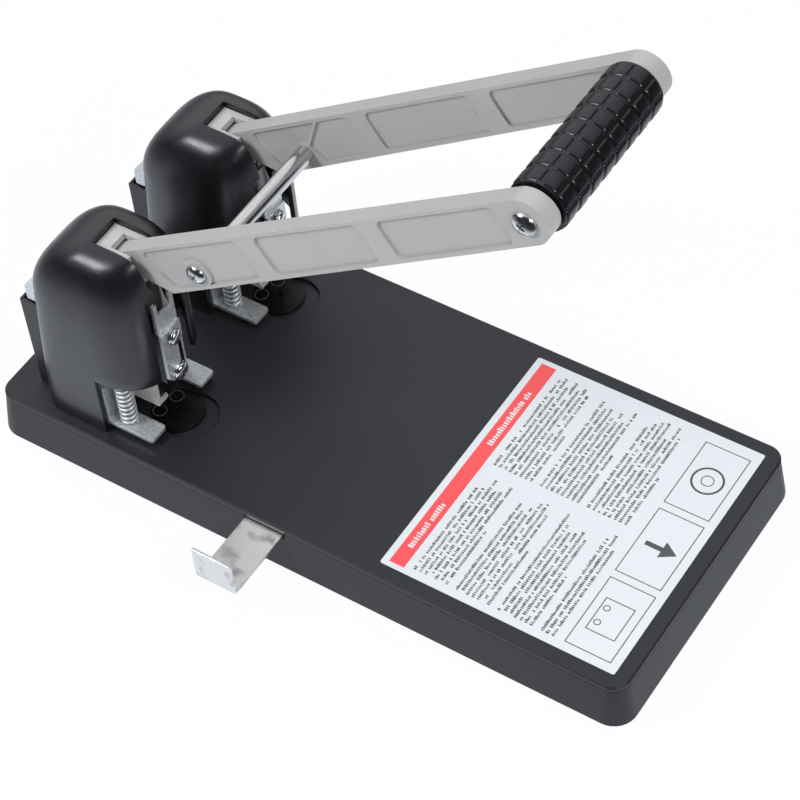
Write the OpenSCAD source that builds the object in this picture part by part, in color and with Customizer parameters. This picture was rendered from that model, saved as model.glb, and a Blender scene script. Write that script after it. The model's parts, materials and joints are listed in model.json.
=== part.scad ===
// Heavy duty two-hole paper punch: a flat base, two hooded punch heads and one long lever.
// Millimetres. Origin under the middle of the base, +X towards the grip, +Z up.

/* [Base] */
// Length of the base at its foot
base_l = 329.6; // [310:0.2:360]
// Width of the base at its foot
base_w = 150.4; // [146:0.2:180]
// Height of the base's top face
base_h = 25; // [24:0.5:32]
// Corner radius at the foot
base_corner = 11; // [9:0.5:20]
// How much the walls draw in on each side
base_flare = 2.9; // [1:0.1:4]
// Wall of the base skirt
base_wall = 2.5; // [1.8:0.1:3]
// Thickness of the top plate
top_t = 2.5; // [2:0.1:3]
// Bevel round the top plate's edge
top_bevel = 0.8; // [0.4:0.1:1.2]
// Thickness of the steel bottom plate
bottom_t = 2; // [1.5:0.1:3]
// Thickness of the rubber mat
mat_t = 2; // [1:0.1:3]
// Inset of the rubber mat from the foot
mat_inset = 9; // [6:0.5:14]
// Length of the sticker
sticker_l = 114; // [90:1:116]
// Width of the sticker
sticker_w = 131; // [100:1:132]
// Gap from the sticker to the front edge
sticker_edge = 7.2; // [4:0.1:10]
// Thickness of the sticker
sticker_t = 0.2; // [0.1:0.05:0.3]

/* [Heads] */
// Distance between the two holes
hole_pitch = 80; // [78:0.5:84]
// Distance from the base's back edge to the holes
punch_edge = 72.8; // [66:0.1:74]
// Distance from the hole's centre to the paper's edge
paper_margin = 12; // [11.5:0.1:13]
// Height of the paper throat under the punch guide
throat = 12; // [11:0.2:13]
// Thickness of the frame's steel
frame_t = 3; // [2.5:0.1:3.2]
// Half the width of the frame's back plate
plate_half = 23.5; // [23:0.1:24]
// Half the gap between the frame's cheeks
cheek_half = 7; // [6.9:0.05:7.2]
// Height of the spring shelf above the base
shelf_h = 39; // [38.5:0.1:41]
// Height of the punch guide block
guide_h = 19; // [17:0.5:20]
// Width of the front plate
front_plate_w = 13.2; // [13:0.1:17]
// Height of the front plate
front_plate_h = 49.5; // [48.5:0.5:52]
// Radius of the cutting disc
disc_r = 12.3; // [11:0.1:13]
// Thickness of the cutting disc
disc_t = 4.2; // [3:0.1:5]
// Distance from the disc's centre to the hole's centre
disc_offset = 8.1; // [7:0.1:8.5]
// Radius of the shallow finger recess beside the disc
recess_r = 13.4; // [13:0.1:14]
// Depth of the finger recess
recess_deep = 1.6; // [1:0.1:2]

/* [Hood] */
// Half the width of the hood
hood_half_w = 26.7; // [26.6:0.1:28]
// Length of the hood behind its widest place
hood_back_l = 34.6; // [34.2:0.1:36]
// Length of the hood in front of its widest place
hood_nose_l = 28.1; // [27.5:0.1:30]
// Distance from the hole back to the hood's widest place
hood_back = 12.1; // [11.6:0.1:12.6]
// Height of the hood above the base
hood_h = 105.8; // [105.5:0.1:110]
// Wall of the hood
hood_wall = 2.2; // [1.6:0.1:2.3]
// Height at which the sides start to round over
hood_side_z = 41; // [38:0.5:50]
// Height at which the back starts to round over
hood_back_z = 74; // [70:0.5:80]
// Height at which the nose starts to round over
hood_nose_z = 72.6; // [68:0.2:80]
// How far the top of the nose is drawn back
hood_nose_in = 9.7; // [6:0.1:12]
// Height of the lower edge over the presser feet
hood_lift = 35.3; // [34.5:0.1:36.6]
// Half the width of the front opening
hood_open_half = 12; // [11:0.1:13]
// Half the width of the lever's slot
hood_slot_half = 8; // [6:0.1:9]

/* [Lever] */
// Distance from the lever's pivot to the punch axis
lever_e = 30; // [29:0.25:30.5]
// Angle of a full press
press_deg = 24; // [22:0.5:24.5]
// Height of the lever's pivot above the base
pivot_h = 80; // [79.5:0.25:82]
// Slope of the raised arms
arm_angle = 34.3; // [33.5:0.1:36]
// Distance along the arm from the pivot to the grip
arm_reach = 270; // [220:1:300]
// Distance from the pivot down to the arm's middle line
arm_drop = 12.1; // [11.5:0.1:13]
// Depth of an arm at the pivot's end
arm_d = 25; // [23:0.1:25]
// Depth of an arm at the grip's end
arm_end_d = 20.6; // [18:0.1:22]
// Thickness of an arm
arm_t = 8; // [7:0.1:8.2]
// Depth of the recessed panels in an arm
panel_deep = 1.2; // [0.6:0.1:2]
// Width of the rim round a panel
panel_rim = 1.7; // [1:0.1:3]
// Distance along the arm from the pivot to the cross rod
rod_reach = 73.9; // [70:0.1:90]
// Diameter of the cross rod
rod_d = 8; // [6:0.1:10]
// Diameter of the grip
grip_d = 25; // [18:0.5:30]
// Diameter of the steel core in the grip
core_d = 12; // [10:0.1:16]
// Diameter of the pivot pin
pivot_d = 8; // [6:0.1:10]

/* [Punch] */
// Outer diameter of the hollow punch
punch_d = 9; // [8:0.1:9.4]
// Diameter of the hole that it cuts
chip_d = 6; // [5.5:0.1:6.5]
// Diameter of the drive pin
drive_d = 6; // [5:0.1:6.2]

/* [Presser feet] */
// Distance from the hole sideways to a foot
foot_side = 18.3; // [18:0.1:18.6]
// Width of a foot
foot_w = 10.4; // [9:0.1:10.8]
// Reach of a foot in front of the paper stop
foot_reach = 24; // [18:0.5:26]
// Thickness of a foot
foot_t = 2; // [1.5:0.1:2.5]
// Gap under a resting foot
foot_gap = 3; // [1:0.1:3.5]
// Diameter of a foot's guide pin
foot_pin_d = 5; // [4:0.1:5.2]
// How far a foot can lift
foot_lift = 11; // [9:0.1:11.2]

/* [Springs] */
// Outer diameter of a foot spring
foot_spring_d = 8.3; // [7.9:0.1:8.6]
// Wire of a foot spring
foot_wire = 1.2; // [1:0.05:1.25]
// Turns of a foot spring
foot_turns = 12; // [8:1:13]
// Outer diameter of a return spring
return_spring_d = 13; // [12.6:0.1:13.2]
// Wire of a return spring
return_wire = 1.2; // [1:0.05:1.3]
// Turns of a return spring
return_turns = 4; // [3:1:4]

/* [Chip boxes] */
// Width of a chip box
chip_box_w = 34; // [30:0.5:34.5]
// Height of a chip box
chip_box_h = 55.5; // [50:0.5:58]
// Length of a chip box
chip_box_l = 16.7; // [14:0.1:18]
// Wall of a chip box
chip_wall = 1.6; // [1.2:0.1:2]
// How far the box stands out behind the hood
chip_proud = 9.8; // [8:0.1:11]

/* [Paper guide] */
// Width of the paper guide
guide_w = 20; // [16:0.5:24]
// Thickness of the paper guide
guide_t = 1.5; // [1:0.1:1.8]
// Distance from the middle of the base to the guide's stop
guide_stop = 107; // [95:0.5:120]
// Height of the guide's upturned end
guide_end_h = 20; // [8:0.5:22]
// Length of the paper guide inside the middle line
guide_tail = 20; // [10:1:30]
// Distance from the middle of the base back to the guide
guide_back = 15; // [10:0.5:30]

/* [Fits] */
// Radial clearance of running pins and bores
run_gap = 0.05; // [0.02:0.01:0.1]
// Clearance between sliding faces
slide_gap = 0.3; // [0.3:0.05:0.4]

/* [Hidden] */
$fn = 64;
hull_fn = 32;
eps = 0.01;

// Screws: pan heads with a cross recess
pan_h = 2.6;
recess_w = 1.1;
recess_share = 0.62;
recess_depth = 1.2;

// Base
top_z = base_h;
skirt_top = base_h - top_t;
top_l = base_l - 2 * base_flare;
top_w = base_w - 2 * base_flare;
top_corner = base_corner - base_flare;
floor_z = mat_t;
post_r = 4.5;
post_bore_r = 1.6;
base_screw_r = 1.5;
base_screw_head_r = 3.2;
base_screw_l = 12;
mat_hole_r = 4.5;
post_edge = 14;
post_x = base_l / 2 - post_edge;
post_y = base_w / 2 - post_edge;
post_mid = 20;
posts = [for (x = [-post_x, post_mid, post_x]) for (y = [-post_y, post_y]) [x, y]];
cup_floor = 2;
cup_wall = 3;
cup_gap = 0.05;
disc_x = disc_offset;
disc_screw_r = 1.2;
disc_mark_r = chip_d / 2;
disc_mark_w = 0.35;
disc_mark_deep = 0.3;
disc_mark_deg = [129, 213];
finger_shift = 6.9;
finger_x = disc_x + finger_shift;

// Head, measured from the hole's centre on the base's top face
punch_x = punch_edge - base_l / 2;
head_y = hole_pitch / 2;
stop_x = -paper_margin;
foot_leg_t = 2;
foot_leg_x = stop_x - foot_leg_t + slide_gap;
plate_x = foot_leg_x - slide_gap - frame_t;
plate_front = plate_x + frame_t;
shelf_half = 22;
shelf_front = -0.5;
shelf_top = shelf_h + frame_t;
cheek_out = cheek_half + frame_t;
cheek_front = 6;
lug_r = 10;
cheek_top = 20;
cheek_rise = 12;
cheek_brow = 26;
cheek_bevel = [6, 4];
bridge_t = 2.5;
bridge_l = 12;
bridge_back = 8;
pad_gap = 0.4;
pad_low = 0.8;
pad_rise = 2.8;
pad_l = 6.6;
pad_prong_l = 10.5;
pad_prong_gap = 0.6;
flange_l = 22;
flange_half = 21;
flange_bevel = [7, 4];
frame_screw_r = 2;
frame_screw_head_r = 4.2;
frame_screw_l = 14;
frame_screw_x = plate_x - flange_l / 2;
frame_screw_y = 16;
screw_gap = 0.1;
frame_bore_r = frame_screw_r + screw_gap;
frame_post_r = 5;

// Lever
half_press = press_deg / 2;
stroke = 2 * lever_e * tan(half_press);
pivot_x = -lever_e;
pivot_r = pivot_d / 2;
hub_wall = 5;
hub_r = pivot_r + hub_wall;
hub_half = cheek_half - slide_gap;
lobe_half = arm_t / 2 - 0.8;
arm_half = arm_t / 2;
arm_low = -arm_drop - arm_end_d / 2;
arm_taper = (arm_d - arm_end_d) / arm_reach;
pin_rest_z = pivot_h + lever_e * tan(half_press);
pin_reach = lever_e / cos(half_press);
pin_bearing = half_press - arm_angle;
pin_u = pin_reach * cos(pin_bearing);
pin_v = pin_reach * sin(pin_bearing);
drive_r = drive_d / 2;
slot_gap = 0.3;
slot_r = drive_r + slot_gap;
slot_run = pin_reach - lever_e + slot_gap;
pivot_clip_t = 1;
pivot_clip_r = pivot_r + 2.2;
groove_deep = 0.6;
pin_past = 0.8;
lobe_wall = 3.5;
lobe_waist = [14, 3.6];
lobe_root = 34;
lobe_sink = 1;
lobe_tip = [46, -10.4];
lobe_chin = [38, -12.5];
lobe_heel = [6.4, 1.4];
lobe_back = [-4, 0.9];
chin_u = 50.3;
chin_slope = 0.805;
chin_top = (chin_slope * chin_u - arm_d) / (chin_slope - arm_taper);
rod_drop = 2;
rod_v = -arm_drop - rod_drop;
rod_r = rod_d / 2;
rod_boss_r = rod_r + 3.2;
rod_socket_r = rod_r + 1;
socket_foot = [-4.5, 9];
rib_half = 0.7;
rib_run = 19;
rod_screw_r = 2.2;
rod_screw_head_r = rod_r + 0.8;
grip_screw_r = 3;
grip_screw_head_r = 5.3;
arm_screw_l = 14;
arm_inner = head_y - arm_half;
grip_half = arm_inner - 1.2;
grip_groove = 0.9;
tile_rows = 8;
tile_round = 10;
tile_turn = 2.5;
tile_gap = 1.1;
panel_corner = 3;
panel_count = 3;
panel_rib = 10.8;
panel_end = [2.3, 11.2];
panel_cut = 5;
panel_from = chin_u - panel_end[0];
panel_to = arm_reach - panel_end[1];
panel_l = (panel_to - panel_from - (panel_count - 1) * panel_rib) / panel_count;

// Punch and carriage
tip_gap = 0.2;
tip_z = tip_gap + stroke;
tip_bevel = 0.9;
punch_r = punch_d / 2;
chip_r = chip_d / 2;
block_back = -6;
block_front = 9;
web_t = frame_t;
web_h = 46.5;
web_rise = 15;
web_slit_w = 2.6;
web_slit = [21, 38];
lip_t = 1.2;
lip_h = 2.2;
lip_l = 6.8;
guide_z = throat;
block_top = guide_z + guide_h;
plate_front_x = block_front + web_t;
front_plate_t = 1.8;
front_plate_z = 27;
front_step = 1.2;
front_step_z = 31.5;
front_side = 2.8;
front_side_z = 21;
front_bevel = [3, 3.4];
notch_half = arm_half + 0.5;
notch_deep = 7.5;
front_screw_r = 2;
front_screw_head_r = 4;
front_washer_r = 4.4;
front_washer_t = 1;
front_screw_low = 0.2;
front_screw_pitch = 22;
front_screw_z = [for (i = [0, 1]) block_top + front_screw_low + i * front_screw_pitch];
spring_squeezed = 8;
carriage_z = block_top + stroke + spring_squeezed;
carriage_back = -6;
carriage_front = 5.5;
carriage_half = cheek_half - slide_gap;
ear_rise = 9.4;
carriage_top = pin_rest_z - ear_rise;
ear_r = drive_r + 1.5;
ear_in = lobe_half + slide_gap;
outlet_h = 9;
outlet_roof = 6;
outlet_z = carriage_top - outlet_h - outlet_roof;

// Presser feet
foot_x = -4;
foot_front = stop_x + foot_reach;
foot_top = foot_gap + foot_t;
foot_corner = 1.5;
foot_leg_top = shelf_h - foot_lift - 1;
foot_pin_r = foot_pin_d / 2;
foot_head_r = foot_pin_r + 1.5;
foot_head_t = 2;

// Chips
chip_back = -hood_back - hood_back_l - chip_proud;
chip_front = chip_back + chip_box_l;
chip_lift = 0.3;
chip_half = chip_box_w / 2;
chip_low_h = 37;
chute_t = 1.2;
chute_half = chip_half - 1;
chute_gap = 1.5;
chute_roof = 73;
chute_ridge = pivot_x - lug_r - 1.2;
chute_knee = -hood_back - hood_back_l;
chute_drop = 7.4;
chute_lip_z = chip_box_h + chip_lift + chute_gap;
chute_back = chip_back + 4.3;
chute_floor = 40;
chute_side_z = 60;

// Hood
hood_mid = -hood_back;
side_round = 3.5;
back_round = 1.66;
nose_round = 2;
back_power = 3.6;
foot_power = 8.6;
foot_ease = 1.5;
nose_power = 2.5;
hood_points = 48;
hood_steps = [0, 18, 34, 48, 60, 70, 79, 86];
hood_slot_back = -13.5;
hood_slot_z = 86;
hood_box_gap = 0.6;
hood_window_z = chute_roof + 1.6;

// Paper guide
guide_x = -guide_back;
guide_z_top = skirt_top - 1;
guide_low = guide_z_top - guide_t;
rail_wall = 1.9;
rail_floor = 1.7;
rail_far = base_w / 2 - post_edge;
rail_near = base_w / 2 - base_flare - base_wall - 2.2;
guide_slot_gap = 0.5;

// Small helpers

// A block between two corners
module span(low, high) {
    translate(low) cube(high - low);
}

// A rounded rectangle, flat
module rounded(l, w, r) {
    square([l - 2 * r, w], center = true);
    square([l, w - 2 * r], center = true);
    for (x = [-1, 1], y = [-1, 1])
        translate([x * (l / 2 - r), y * (w / 2 - r)]) circle(r);
}

// A slab with rounded corners whose walls draw in by flare towards the top
module flared(l, w, r, flare, h) {
    hull()
        for (x = [-1, 1], y = [-1, 1])
            translate([x * (l / 2 - r), y * (w / 2 - r), 0])
                cylinder(r1 = r, r2 = r - flare, h = h, $fn = hull_fn);
}

// A round bar along Y between two places
module bar_y(r, from, to) {
    translate([0, from, 0]) rotate([-90, 0, 0]) cylinder(r = r, h = to - from);
}

// A pan-head screw that points down from z = 0
module pan_screw(head_r, shank_r, l) {
    difference() {
        union() {
            translate([0, 0, pan_h - 1]) cylinder(r1 = head_r, r2 = head_r - 1, h = 1);
            cylinder(r = head_r, h = pan_h - 1);
            translate([0, 0, -l]) cylinder(r = shank_r, h = l);
        }
        for (turn = [0, 90])
            rotate(turn)
                translate([0, 0, pan_h])
                    cube([2 * head_r * recess_share, recess_w, 2 * recess_depth], center = true);
    }
}

// Puts a part on one head: side is -1 on the left and 1 on the right
module at_head(side) {
    translate([punch_x, side * head_y, top_z]) children();
}

// Extrudes an outline drawn in X and Z between two places in Y
module plate_y(from, to) {
    translate([0, to, 0]) rotate([90, 0, 0]) linear_extrude(to - from) children();
}

// Turns a part drawn along the arm, with its pivot at the origin, to the raised lever
module at_lever() {
    translate([punch_x + pivot_x, 0, top_z + pivot_h]) rotate([0, -arm_angle, 0]) children();
}

// Wound springs

// The middle line of a spring along Z: a straight end, the turns, and a straight end
function spring_line(r, wire, turns, low, high) =
    let (rings = 8 * turns, rise = high - low - 2 * wire)
    concat([[r, 0, low]],
           [for (i = [0:rings]) [r * cos(45 * i), r * sin(45 * i), low + wire + rise * i / rings]],
           [[r * cos(45 * rings), r * sin(45 * rings), high]]);

// The angle round the axis at each point of the line
function spring_turn(i, last) = 45 * min(max(i - 1, 0), last - 2);

// One ring of six points round a point of the line
function spring_ring(line, i, wire) =
    let (last = len(line) - 1,
         along = line[min(i + 1, last)] - line[max(i - 1, 0)],
         a = spring_turn(i, last),
         out = [cos(a), sin(a), 0],
         up = cross(out, along / norm(along)))
    [for (k = [0:5]) line[i] + wire / 2 * (cos(60 * k) * out + sin(60 * k) * up / norm(up))];

// The least distance between turns, less the wire
function spring_gap(line, wire) =
    min([for (i = [0:len(line) - 1]) for (j = [i + 5:1:len(line) - 1]) norm(line[i] - line[j])]) - wire;

module spring(d, wire, turns, low, high) {
    line = spring_line((d - wire) / 2, wire, turns, low, high);
    last = len(line) - 1;
    points = [for (i = [0:last]) each spring_ring(line, i, wire)];
    sides = [for (i = [0:last - 1]) for (k = [0:5])
             let (a = 6 * i + k, b = 6 * i + (k + 1) % 6)
             each [[a, b, a + 6], [b, b + 6, a + 6]]];
    start = [for (k = [1:4]) [0, k + 1, k]];
    end = [for (k = [1:4]) [6 * last, 6 * last + k, 6 * last + k + 1]];
    echo("least gap of the spring to itself", spring_gap(line, wire));
    polyhedron(points, concat(sides, start, end));
}

// Base

module base_housing() {
    color("#35363a")
    difference() {
        translate([0, 0, floor_z / 2])
            flared(base_l, base_w, base_corner, base_flare, skirt_top - floor_z / 2);
        translate([0, 0, -eps])
            flared(base_l - 2 * base_wall, base_w - 2 * base_wall, base_corner - base_wall,
                   base_flare, skirt_top + 2 * eps);
        span([guide_x - guide_w / 2 - guide_slot_gap, -base_w, guide_low - guide_slot_gap],
             [guide_x + guide_w / 2 + guide_slot_gap, 0, skirt_top + eps]);
    }
}

module base_top() {
    color("#323337")
    difference() {
        union() {
            translate([0, 0, skirt_top]) linear_extrude(top_t - top_bevel)
                rounded(top_l, top_w, top_corner);
            translate([0, 0, base_h - top_bevel])
                flared(top_l, top_w, top_corner, top_bevel, top_bevel);
            for (p = posts)
                translate([p[0], p[1], floor_z + bottom_t])
                    cylinder(r = post_r, h = skirt_top - floor_z - bottom_t + eps);
            for (side = [-1, 1])
                at_head(side) {
                    translate([disc_x, 0, -disc_t - cup_gap - cup_floor])
                        cylinder(r = disc_r + cup_wall, h = disc_t + cup_floor - top_t / 2);
                    for (y = [-1, 1])
                        translate([frame_screw_x, y * frame_screw_y, frame_t - frame_screw_l - 1])
                            cylinder(r = frame_post_r, h = frame_screw_l - frame_t - top_t / 2);
                }
        }
        for (p = posts)
            translate([p[0], p[1], floor_z]) cylinder(r = post_bore_r, h = base_screw_l + 2);
        for (side = [-1, 1])
            at_head(side) {
                translate([disc_x, 0, -disc_t - cup_gap]) cylinder(r = disc_r + run_gap, h = base_h);
                translate([finger_x, 0, -recess_deep]) cylinder(r = recess_r, h = base_h);
                for (y = [-1, 1])
                    translate([frame_screw_x, y * frame_screw_y, frame_t - frame_screw_l - 0.5])
                        cylinder(r = frame_bore_r, h = base_h);
            }
    }
}

module bottom_plate() {
    inner = 2 * (base_wall + slide_gap + base_flare / 2);
    color("#8d9196")
    difference() {
        translate([0, 0, floor_z]) linear_extrude(bottom_t)
            rounded(base_l - inner, base_w - inner, base_corner - base_wall);
        for (p = posts)
            translate([p[0], p[1], floor_z]) {
                translate([0, 0, -eps]) {
                    cylinder(r = post_bore_r, h = 2 * bottom_t);
                    cylinder(r1 = base_screw_head_r + eps, r2 = post_bore_r, h = bottom_t);
                }
            }
    }
}

module rubber_mat() {
    color("#1c1c1e")
    difference() {
        linear_extrude(mat_t)
            rounded(base_l - 2 * mat_inset, base_w - 2 * mat_inset, base_corner);
        for (p = posts)
            translate([p[0], p[1], -eps]) cylinder(r = mat_hole_r, h = 2 * mat_t);
    }
}

module base_screws() {
    color("#b9bcc0")
    for (p = posts)
        translate([p[0], p[1], floor_z])
            difference() {
                union() {
                    cylinder(r1 = base_screw_head_r, r2 = base_screw_r, h = bottom_t);
                    cylinder(r = base_screw_r, h = base_screw_l);
                }
                for (turn = [0, 90])
                    rotate(turn)
                        cube([2 * base_screw_head_r * recess_share, recess_w, recess_depth], center = true);
            }
}

module guide_rail() {
    out = guide_w / 2 + slide_gap + rail_wall;
    low = guide_low - slide_gap - rail_floor;
    color("#6f7276")
    difference() {
        span([guide_x - out, -rail_near, low], [guide_x + out, rail_far, skirt_top]);
        span([guide_x - out + rail_wall, -base_w, low + rail_floor],
             [guide_x + out - rail_wall, base_w, skirt_top + eps]);
    }
}

module sticker() {
    front = top_l / 2 - sticker_edge;
    color("#e6ebf0")
    span([front - sticker_l, -sticker_w / 2, top_z], [front, sticker_w / 2, top_z + sticker_t]);
}

module paper_guide() {
    color("#c9cbcc") {
        span([guide_x - guide_w / 2, -guide_stop, guide_low],
             [guide_x + guide_w / 2, guide_tail, guide_z_top]);
        span([guide_x - guide_w / 2, -guide_stop - guide_t, guide_low],
             [guide_x + guide_w / 2, -guide_stop, guide_low + guide_end_h]);
    }
}

// Heads

// A cheek of the frame, with a round lug for the pivot
module cheek_outline() {
    crown = pivot_h + cheek_top;
    polygon([[plate_x, guide_z], [cheek_front, guide_z], [cheek_front, guide_z + web_h],
             [pivot_x + cheek_brow, crown - cheek_bevel[1]], [pivot_x + cheek_brow - cheek_bevel[0], crown],
             [pivot_x + bridge_back, crown],
             [pivot_x - lug_r * cos(45), pivot_h + lug_r * sin(45)], [pivot_x, pivot_h - lug_r],
             [plate_x, pivot_h - lug_r - cheek_rise]]);
    translate([pivot_x, pivot_h]) circle(lug_r);
}

// The foot of the frame, with its back corners cut off
module flange_outline() {
    back = plate_x - flange_l;
    narrow = flange_half - flange_bevel[1];
    polygon([[plate_x + eps, -flange_half], [back + flange_bevel[0], -flange_half], [back, -narrow],
             [back, narrow], [back + flange_bevel[0], flange_half], [plate_x + eps, flange_half]]);
}

// The pad in the hood's slot, with two prongs beside the arm
module slot_pad() {
    crown = pivot_h + cheek_top;
    back = hood_slot_back + pad_gap;
    half = hood_slot_half - pad_gap;
    prong_in = arm_half + pad_prong_gap;
    difference() {
        span([back, -half, crown - pad_low], [back + pad_l + pad_prong_l, half, crown + pad_rise]);
        span([back + pad_l, -prong_in, 0], [back + pad_l + pad_prong_l + 1, prong_in, 2 * crown]);
    }
}

module frame(side) {
    crown = pivot_h + cheek_top;
    low = -cheek_out;
    color("#c8cac8")
    at_head(side)
    difference() {
        union() {
            span([plate_x, -plate_half, 0], [plate_front, plate_half, shelf_top]);
            linear_extrude(frame_t) flange_outline();
            for (y = [-1, 1]) {
                plate_y(y > 0 ? cheek_half : low, y > 0 ? cheek_out : -cheek_half) cheek_outline();
                span([plate_x, y > 0 ? cheek_half : -shelf_half, shelf_h],
                     [shelf_front, y > 0 ? shelf_half : -cheek_half, shelf_top]);
            }
            span([pivot_x + bridge_back, -cheek_out, crown - bridge_t],
                 [pivot_x + bridge_back + bridge_l, cheek_out, crown]);
            slot_pad();
            span([cheek_front - eps, low, guide_z], [cheek_front + lip_t, -cheek_half, guide_z + lip_h]);
            span([cheek_front, -cheek_half - eps, guide_z],
                 [cheek_front + lip_t, low + lip_l, guide_z + lip_h]);
        }
        translate([pivot_x, 0, pivot_h]) bar_y(pivot_r + run_gap, -plate_half, plate_half);
        for (y = [-1, 1]) {
            translate([foot_x, y * foot_side, 0]) cylinder(r = foot_pin_r + run_gap, h = 2 * shelf_top);
            translate([frame_screw_x, y * frame_screw_y, -eps]) cylinder(r = frame_bore_r, h = 2 * frame_t);
        }
    }
}

module frame_screws() {
    color("#b9bcc0")
    for (side = [-1, 1], y = [-1, 1])
        at_head(side)
            translate([frame_screw_x, y * frame_screw_y, frame_t])
                pan_screw(frame_screw_head_r, frame_screw_r, frame_screw_l);
}

// Part of an oval that a level keeps, from 1 low down to 0 at the crown
function round_over(z, from, top, power) =
    z <= from ? 1 : pow(1 - pow((z - from) / (top - from), power), 1 / power);

// Signed power, for ovals with square shoulders
function spow(v, e) = sign(v) * pow(abs(v), e);

// How square the back's shoulders are at a level: most at the foot
function back_shoulder(z) =
    back_power + (foot_power - back_power) * pow(1 - min(max(z, 0), hood_back_z) / hood_back_z, foot_ease);

// One level of the hood, seen from above: a square back and a rounder nose
module hood_level(z, inset, top) {
    side = (hood_half_w - inset) * round_over(z, hood_side_z, top, side_round);
    back = (hood_back_l - inset) * round_over(z, hood_back_z, top, back_round);
    nose = hood_nose_l - inset - hood_nose_in * (1 - round_over(z, hood_nose_z, top, nose_round));
    translate([hood_mid, 0, z])
        linear_extrude(eps)
            polygon([for (i = [0:hood_points - 1])
                     let (a = 360 * i / hood_points,
                          ahead = cos(a) > 0,
                          power = 2 / (ahead ? nose_power : back_shoulder(z)))
                     [spow(cos(a), power) * (ahead ? nose : back), spow(sin(a), power) * side]]);
}

// The hood's outer or inner form, inset from the outside by a wall
module hood_form(inset, foot) {
    top = hood_h - inset;
    levels = concat([foot, hood_side_z / 3, hood_side_z * 2 / 3],
                    [for (a = hood_steps) hood_side_z + (top - hood_side_z) * sin(a)]);
    for (i = [0:len(levels) - 2])
        hull()
            for (k = [0, 1])
                hood_level(levels[i + k], inset, top);
}

module hood(side) {
    far = hood_back_l + hood_nose_l;
    color("#1d1d20")
    at_head(side)
    difference() {
        hood_form(0, 0);
        hood_form(hood_wall, -1);
        span([stop_x, -far, -1], [far, far, hood_lift]);
        span([0, -hood_open_half, 0], [far, hood_open_half, hood_slot_z]);
        span([hood_slot_back, -hood_slot_half, hood_slot_z - hood_slot_half],
             [far, hood_slot_half, 2 * hood_h]);
        span([-2 * far, -chip_half - hood_box_gap, -1],
             [hood_mid - hood_back_l / 2, chip_half + hood_box_gap, hood_window_z]);
    }
}

module guide_block(side) {
    color("#c8cac8")
    at_head(side)
    difference() {
        union() {
            span([block_back, -cheek_half, guide_z], [cheek_front, cheek_half, block_top]);
            span([cheek_front - eps, -hub_half, guide_z + web_rise], [block_front, hub_half, block_top]);
            span([block_front - eps, -hub_half, guide_z + web_rise],
                 [plate_front_x, hub_half, guide_z + web_h]);
        }
        cylinder(r = punch_r + run_gap, h = 2 * block_top);
        span([block_front - 1, front_side, guide_z + web_slit[0]],
             [plate_front_x + 1, front_side + web_slit_w, guide_z + web_slit[1]]);
        for (z = front_screw_z)
            translate([block_front - 2, 0, z]) rotate([0, 90, 0])
                cylinder(r = front_screw_r + screw_gap, h = 2 * web_t);
    }
}

// The lower part of the front plate, seen from the front, narrow beside the lower screw
module front_outline() {
    half = front_plate_w / 2;
    step_z = front_plate_z + front_step_z;
    side_z = front_plate_z + front_side_z;
    polygon([[-half, step_z], [-half, front_plate_z + front_bevel[1]], [front_bevel[0] - half, front_plate_z],
             [front_side, front_plate_z], [front_side, side_z], [half, side_z], [half, step_z]]);
}

module front_plate(side) {
    top = front_plate_z + front_plate_h;
    half = front_plate_w / 2;
    color("#c3c8cc")
    at_head(side)
    difference() {
        union() {
            translate([plate_front_x, 0, 0]) rotate([90, 0, 90])
                linear_extrude(front_plate_t) front_outline();
            span([plate_front_x - front_step, -half, guide_z + web_h],
                 [plate_front_x - front_step + front_plate_t, half, top]);
        }
        span([0, -notch_half, top - notch_deep], [2 * plate_front_x, notch_half, top + 1]);
        for (z = front_screw_z)
            translate([block_front, 0, z]) rotate([0, 90, 0])
                cylinder(r = front_screw_r + screw_gap, h = 2 * plate_front_x);
    }
}

module front_plate_screws() {
    color("#cfd4d8")
    for (side = [-1, 1])
        at_head(side)
            for (z = front_screw_z)
                translate([plate_front_x + front_plate_t, 0, z]) rotate([0, 90, 0]) {
                    cylinder(r = front_washer_r, h = front_washer_t);
                    translate([0, 0, front_washer_t])
                        pan_screw(front_screw_head_r, front_screw_r, front_washer_t + front_plate_t + web_t);
                }
}

module pivot_pin(side) {
    end = cheek_out + pivot_clip_t + pin_past;
    color("#b4b8bc")
    at_head(side)
    translate([pivot_x, 0, pivot_h])
    difference() {
        bar_y(pivot_r, -end, end);
        for (y = [-1, 1])
            translate([0, y > 0 ? 0 : -2 * cheek_out - pivot_clip_t, 0])
                difference() {
                    bar_y(2 * pivot_r, cheek_out, cheek_out + pivot_clip_t);
                    bar_y(pivot_r - groove_deep, 0, 2 * cheek_out);
                }
    }
}

module pivot_clips() {
    color("#3c3e41")
    for (side = [-1, 1], y = [-1, 1])
        at_head(side)
            translate([pivot_x, y > 0 ? cheek_out : -cheek_out - pivot_clip_t, pivot_h])
                difference() {
                    bar_y(pivot_clip_r, 0, pivot_clip_t);
                    bar_y(pivot_r - groove_deep, -1, 2);
                    span([-pivot_r / 2, -1, -2 * pivot_r], [pivot_r / 2, 2, 0]);
                }
}

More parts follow.
